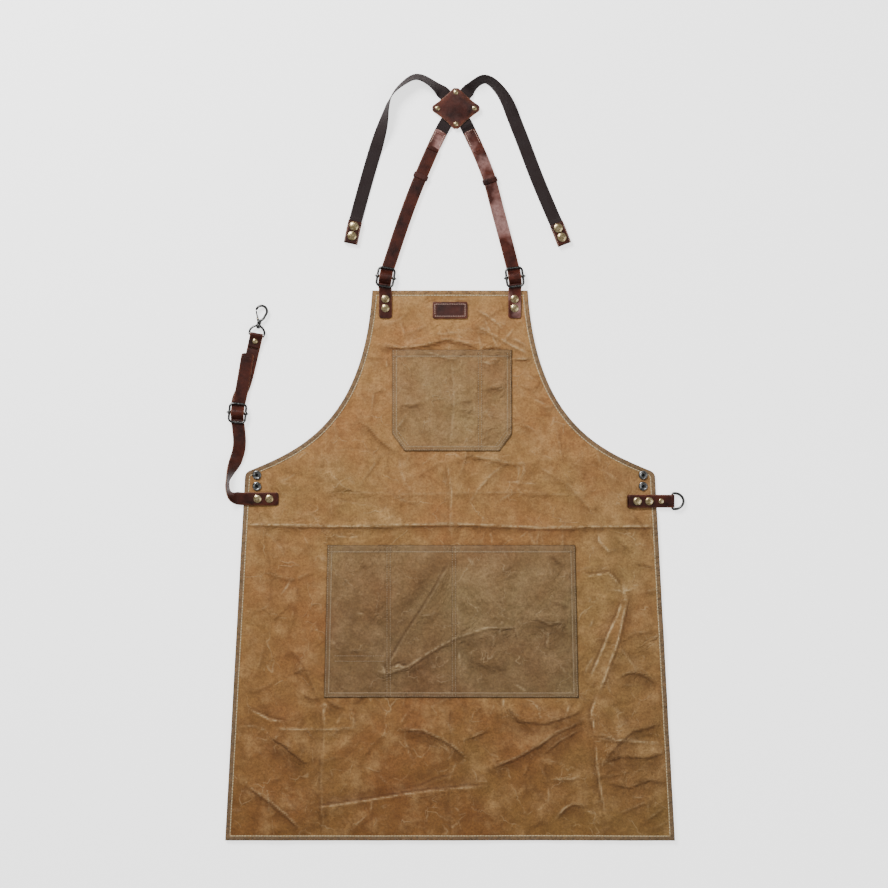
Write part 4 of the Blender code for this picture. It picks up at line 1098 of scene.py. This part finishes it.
def make_patch():
    cx, cy = CROSSING
    blunt = 3                   # half of each cut-off corner
    corners = [(36, -blunt), (36, blunt), (blunt, 31), (-blunt, 31),
               (-36, blunt), (-36, -blunt), (-blunt, -31), (blunt, -31)]
    outline = rounded([(cx + x, cy + y) for x, y in corners], 2.4, sag=1.1)
    for node, name, thickness, dome in (("cross_patch_front", "cross_patch_top", 1.6, 0.3),
                                        ("cross_patch_back", "cross_patch_under", 1.5, 0.05)):
        leather_plate(name, outline, middle(node)[1], thickness, "cross_patch", node, dome)


def make_label():
    low, high = (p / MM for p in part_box("label_patch"))

    def outline(inset, radius):
        left, right, foot, top = low.x + inset, high.x - inset, low.y + inset, high.y - inset
        return rounded([(left, foot), (right, foot), (right, top), (left, top)], radius)

    leather_plate("label_leather", outline(0, 3.0), low.z, 1.5, "bib", "label_patch", 0.25)
    line = outline(3.6, 1.5)
    row = [(*p, low.z + 1.62) for p in line + [line[0]]]
    settle(stitch_mesh("label_stitching", [row], ROSE, length=2.2, pitch=2.7), "bib")


# ---- metalware -----------------------------------------------------------------------------------
def revolve(profile, segments):
    """A turned shape's points as (cos, sin, height), and its faces. profile is (radius, height)."""
    points = [(r * cos(a), r * sin(a), h) for r, h in profile for a in circle(segments)]
    return points, ring_faces(len(profile), segments) + end_faces(len(profile), segments)


def metal(name, points, faces, material, body, nodes, crease):
    """A metal piece, sharp where it turns by more than crease degrees."""
    made = piece(name, points, faces, [material])
    turn_outwards(made)
    made.data.set_sharp_from_angle(angle=radians(crease))
    settle(made, body, nodes)
    return made


def turned(name, profile, at, material, body, node):
    """A piece turned about an upright axis: profile runs from the middle of its top to its foot."""
    points, faces = revolve(profile, 36)
    points = [(at.x + a, at.y + b, z) for a, b, z in points]
    return metal(name, points, faces, material, body, [node], 50)


# the body that each kind of cap and rivet is fixed to
CAP_BODIES = {"bib_cap": "bib", "ring_cap": "bib", "ring_tab_rivet": "bib", "waist_cap": "bib",
              "tip_cap": "harness", "patch_rivet": "cross_patch", "hook_strap_rivet": "waist_strap"}


def make_caps():
    """Domed caps with a rolled rim, in place of each plain rivet."""
    for start, body in CAP_BODIES.items():
        for node in sorted(n for n in frame["nodes"] if n.startswith(start)):
            centre, low, high = middle(node)
            a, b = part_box(node)
            cap = (b.x - a.x) / MM / 2
            large = cap > 5
            rise = 1.9 if large else 1.4
            seat = high - rise
            flange = 4.5 if start == "tip_cap" else 3.6 if large else 2.4
            curve = [(cap * 0.90 * sin(t), seat + rise * (0.30 + 0.70 * cos(t)))
                     for t in [pi / 2 * i / 8 for i in range(1, 8)]]
            rim = [(cap * 0.93, seat + rise * 0.36), (cap * 0.985, seat + rise * 0.30),
                   (cap, seat + rise * 0.14), (cap * 0.97, seat + 0.02), (cap * 0.9, seat)]
            shank = [(1.0, seat), (1.0, low + 0.6), (flange, low + 0.6), (flange, low)]
            turned(node + "_brass", [(cap * 0.12, high)] + curve + rim + shank, centre,
                   BRASS, body, node)


def make_studs():
    """Hollow snap studs: a rolled rim, a groove, and a post painted black at its hollow middle."""
    top = 2.3                   # of the stud's flange
    post = [(0.3, 0.5), (1.0, 0.5), (1.3, 2.2), (1.7, 2.4), (2.1, 2.2), (2.4, 1.8), (2.2, 0.8)]
    rim = [(3.9, 0.6), (4.6, 1.1), (5.4, 1.25), (6.3, 1.0), (6.75, 0.45), (6.8, 0.0), (1.3, 0.0)]
    profile = [(r, top + z) for r, z in post + rim] + [(1.3, 0.6), (5.6, 0.6), (5.6, 0.0)]
    for node in sorted(n for n in frame["nodes"] if n.startswith("hip_stud")):
        centre = middle(node)[0]
        stud = turned(node + "_ring", profile, centre, STEEL, "bib", node)
        # painted shade: the post's middle, within 3 mm, is near-black
        stud.data.materials.append(HOLE_SHADE)
        for polygon in stud.data.polygons:
            reach = Vector(polygon.center.xy) / MM - centre.xy
            polygon.material_index = int(reach.length < 3.0)


def tube(points, radius, closed=False, flat=1.0):
    """Points and faces of a round wire through points; radius is a number or one for each point."""
    sides = 14
    line = [Vector(p) for p in points]
    radii = [radius] * len(line) if isinstance(radius, (int, float)) else radius
    verts = []
    count = len(line)
    for i, p in enumerate(line):
        before = line[i - 1] if (i or closed) else p
        after = line[(i + 1) % count] if (i < count - 1 or closed) else p
        ahead = (after - before).normalized()
        side = ahead.cross(Vector((0, 0, 1)))
        side = side.normalized() if side.length > 1e-4 else Vector((1, 0, 0))
        lift = side.cross(ahead).normalized()
        verts += [p + (side * cos(a) + lift * sin(a) * flat) * radii[i] for a in circle(sides)]
    faces = ring_faces(count, sides, closed=closed)
    return verts, faces if closed else faces + end_faces(count, sides)


def lathe(profile, x=0.0, capped=True):
    """A shape turned about the local Y axis, moved along X: profile is (radius, y)."""
    points, faces = revolve(profile, 24)
    return [(a + x, y, b) for a, b, y in points], faces if capped else faces[:-2]


def assemble(name, parts, matrix, body, node, material=GUNMETAL):
    """Several local shapes as one piece, placed by matrix."""
    verts, faces = [], []
    for part_verts, part_faces in parts:
        base = len(verts)
        verts += [matrix @ Vector(v) for v in part_verts]
        faces += [tuple(base + i for i in f) for f in part_faces]
    metal(name, verts, faces, material, body, [node], 55)


def turn_to(axis, origin):
    """The matrix that takes local +Y to a direction in the plane, at origin in mm."""
    return Matrix.Translation(Vector(origin)) @ Matrix.Rotation(atan2(-axis[0], axis[1]), 4, "Z")


def make_buckle(node, frame_body, bar_body, slide):
    """A buckle's rounded frame, and its bar with a sleeve and a small ball at each end."""
    centre = middle(node)[0]
    at = turn_to(joints[slide]["axis"], (centre.x, centre.y, BUCKLE_Z))
    w, h = BUCKLE_W - WIRE, BUCKLE_H - WIRE      # along the middle of the wire
    outline = [(x, y, 0) for x, y in corner_arcs(w, h, 5.5, 7)]
    assemble(node + "_frame", [tube(outline, WIRE / 2 + 0.2, closed=True)], at, frame_body, node)
    parts = [tube([(-w / 2, 0, 0), (w / 2, 0, 0)], BAR_D / 2)]
    sleeve = [(2.05, -2.5), (2.4, -2.2), (2.4, 2.2), (2.05, 2.5), (1.85, 2.5), (1.8, -2.5)]
    for sign in (-1, 1):
        x = sign * w / 2
        parts.append(lathe(sleeve, x, capped=False))
        ball = [(x + sign * out, 0, 0) for out in (2.0, 3.2, 3.8, 4.1)]
        parts.append(tube(ball, [1.2, 1.3, 1.0, 0.45]))
    assemble(node + "_bar_sleeves", parts, at, bar_body, node + "_bar")


def make_ring():
    """A D-ring: a straight bar along Y, and a heavier bow on its right."""
    half, bar, corner, bow = 12.0, 1.6, 1.75, 1.95      # half its height, and the wire's radii
    arc = [(4.0 + 13.0 * sin(a), -half * cos(a), 0) for a in half_turn(28)]
    line = [*((0, y, 0) for y in (-10.6, -5, 5, 10.6)), (1.2, half, 0), *reversed(arc),
            (1.2, -half, 0)]
    radii = [bar] * 4 + [corner] + [bow] * len(arc) + [corner]
    centre = Vector(joints["ring_swing"]["pos_m"]) / MM
    assemble("d_ring_wire", [tube(line, radii, closed=True)], Matrix.Translation(centre), "d_ring",
             "d_ring")


def make_hook():
    """The eye with its boss, the hook that turns in it, the hook's gate, and the gate's pin."""
    origin = Vector(joints["hook_eye_swing"]["pos_m"]) / MM
    at = turn_to(joints["hook_swivel"]["axis"], origin)
    half = 11.5                 # of the eye's bar
    arc = [(half * cos(a), 3.0 + half * sin(a), 0) for a in half_turn(26)]
    eye = tube([(-half, 0, 0), (0, 0, 0), (half, 0, 0), *arc], [1.4] * 3 + [1.65] * len(arc),
               closed=True)
    boss_top = 17.4
    boss = lathe([(1.95, 12.4), (3.2, 12.4), (3.7, 13.0), (3.7, 16.8), (3.2, boss_top),
                  (1.95, boss_top)], capped=False)
    assemble("hook_eye_ring", [eye, boss], at, "hook_eye", "hook_eye")

    base = boss_top + GAP
    bow_y, bow_r = base + 19.7, 8.2         # the hook's round end
    stem = lathe([(1.2, 10.4), (2.5, 10.6), (2.7, 11.3), (2.6, 12.2), (1.6, 12.3), (1.6, base),
                  (2.6, base), (3.3, base + 0.7), (3.3, base + 4.2), (2.4, base + 5.6),
                  (1.5, base + 6.4)])
    bow = [(bow_r * cos(a), bow_y + bow_r * sin(a), 0)
           for a in [radians(-20 + 10 * i) for i in range(21)]]
    loop = [(0, base + 3.6, 0), (2.4, base + 6.0, 0), (5.4, base + 9.2, 0), *bow]
    radii = [2.2, 2.05, 1.95] + [1.85] * 19 + [1.65, 1.4]
    hinge_x, hinge_y = -3.6, base + 7.4
    lug = tube([(-1.2, base + 3.4, -0.8), (hinge_x, hinge_y, -0.9)], [2.2, 1.5], flat=0.6)
    assemble("snap_hook_body", [stem, tube(loop, radii), lug], at, "snap_hook", "snap_hook")
    lever = tube([(hinge_x, hinge_y, 1.7), (hinge_x - 0.7, hinge_y + 2.6, 0.9),
                  (-6.6, bow_y - 5.0, 0), (-8.0, bow_y - 0.9, 0)], [1.6, 1.2, 1.1, 1.0])
    assemble("hook_gate_lever", [lever], at, "hook_gate", "hook_gate")
    pin = tube([(hinge_x, hinge_y, z) for z in (0.4, 3.0, 3.4)], [0.6, 0.85, 0.5])
    assemble("hook_gate_rivet", [pin], at, "snap_hook", "hook_gate_pin", BRASS)


# ---- hips ----------------------------------------------------------------------------------------
HIP_PLAN = [(-260, 99), (-300, 99), (-322, 100), (-334, 107), (-337, 122), (-332, 140),
            (-324, 160), (-319, 184), (-322, 229), (-316, 262), (-306, 320)]
HOOK_PLAN = [(-310, 278), (-295.5, 338), (-293.2, 349)]


def make_waist_strap():
    """The long leather from the left hip, which turns on its edge and lies down again at the
    buckle, and the short leather from the buckle to the hook's eye."""
    plan = Plan(HIP_PLAN)
    fold, buckle_s = plan.nearest(-318.0, 100.5), plan.nearest(-322.0, 229.0)
    plan.hold(buckle_s)
    rolls = [(3, 0), (8, 25), (20, 78), (40, 80), (56, 50), (76, 0)]
    heights = [(0, ANCHOR_Z), (22, 1.2), (60, 1.4), (96, FRONT_Z)]
    stations = rounded_start(0.2, ANCHOR_Z) + [(s, ANCHOR_Z) for s in (10, fold - 10, fold)]
    stations += [(s, between(heights, s - fold), between(rolls, s - fold))
                 for s in spread(fold + 4, buckle_s - 14, 7.0)]
    end = plan.length - 0.5
    stations += over_bar(buckle_s) + [(s, FRONT_Z) for s in spread(buckle_s + 13, end - 7)]
    stations += rounded_tip(end, FRONT_Z)
    strap, _ = leather_strap("waist_strap_leather", plan, stations, STRAP_T)
    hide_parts("waist_strap_end", "waist_strap")
    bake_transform(strap)

    spot, heading = plan.at(buckle_s)
    hook_plan = Plan([spot - 20 * heading, spot, spot + 20 * heading, *HOOK_PLAN])
    bar_s = min(range(200, 240), key=lambda s: (hook_plan.at(s / 10)[0] - spot).length) / 10
    hook_plan.held = (bar_s, 15.0, spot, heading)
    eye = Vector(joints["hook_eye_swing"]["pos_m"]) / MM
    eye_s = hook_plan.nearest(eye.x, eye.y)
    low_z, eye_r = 2.0, 2.8
    eye_z = low_z + eye_r
    stations = curl(bar_s) + [(s, BACK_Z) for s in spread(bar_s + 13, eye_s - 26)]
    stations += [(eye_s - 20, low_z), (eye_s - 5, low_z), *fold_round(eye_s, eye_z, eye_r),
                 (eye_s - 6, eye_z - 0.2), (eye_s - 18, eye_z - 0.8), (eye_s - 19.5, eye_z - 0.8)]
    strap, _ = leather_strap("hook_strap_leather", hook_plan, stations)
    settle(strap, "waist_strap", ["hook_strap"])


def make_ring_tab():
    """Leather folded round the ring's bar, both of its ends on the cloth."""
    ring = Vector(joints["ring_swing"]["pos_m"]) / MM
    left = (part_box("ring_tab")[0] / MM).x
    plan = Plan([(left, ring.y), (300, ring.y), (ring.x + 6, ring.y)])
    ring_s = ring.x - left
    under, over = 2.3 + BACK_T / 2, 2.6 + BACK_T * 1.5
    stations = [*rounded_start(0, under), (ring_s - 10, under), *fold_round(ring_s, ring.z, 2.7),
                (ring_s - 10, over), *reversed(rounded_start(0, over))]
    tab, _ = leather_strap("ring_tab_leather", plan, stations)
    settle(tab, "bib", ["ring_tab"])


# ---- camera, floor and light ---------------------------------------------------------------------
def make_studio():
    bpy.ops.mesh.primitive_plane_add(size=60, location=(0, 0.18, -0.0006))
    floor = bpy.context.object
    floor.name = "studio_floor"
    paper = Finish("studio_paper", Roughness=0.9, Emission_Strength=1.7)
    for socket in ("Base Color", "Emission Color"):
        paper.shader.inputs[socket].default_value = (0.94, 0.94, 0.94, 1)
    floor.data.materials.append(paper.material)

    camera = bpy.data.objects.new("camera", bpy.data.cameras.new("camera"))
    bpy.context.collection.objects.link(camera)
    distance, view_width, sensor_mm = 3.4, 1.348, 36.0
    camera.location = (-0.0091, 0.1822, distance)
    camera.data.lens = sensor_mm * distance / view_width
    bpy.context.scene.camera = camera

    aim = Vector((0, 0.15, 0))
    for name, place, size, power in (("key", (-1.3, 2.1, 1.9), 1.1, 125),
                                     ("fill", (1.9, -0.4, 2.0), 2.2, 26)):
        data = bpy.data.lights.new(name, "AREA")
        data.shape = "SQUARE"
        data.size = size
        data.energy = power
        lamp = bpy.data.objects.new(name, data)
        lamp.location = place
        lamp.rotation_euler = (aim - Vector(place)).to_track_quat("-Z", "Y").to_euler()
        bpy.context.collection.objects.link(lamp)
    world = bpy.data.worlds.new("studio")
    world.use_nodes = True
    backdrop = world.node_tree.nodes["Background"].inputs
    backdrop["Color"].default_value = (1, 1, 1, 1)
    backdrop["Strength"].default_value = 0.38
    bpy.context.scene.world = world


make_studio()
make_canvas()
make_hem_stitching()
make_pocket("bib_pocket", "bib", BIB_FOLDS, (21, 16), [45.5], chamfer=19.0)
make_pocket("lap_pocket", "skirt", LAP_FOLDS, (22, 30), [-93.0, 6.0], [(-176.0, -98.0, -143.0)],
            flare=5.0)
make_label()
make_shoulder("left")
make_shoulder("right")
make_patch()
make_waist_strap()
make_ring_tab()
make_caps()
make_studs()
make_buckle("slide_buckle_left", "buckle_frame_left", "harness", "buckle_slide_left")
make_buckle("slide_buckle_right", "buckle_frame_right", "harness", "buckle_slide_right")
make_buckle("waist_buckle", "waist_buckle_frame", "waist_strap", "waist_buckle_slide")
make_ring()
make_hook()
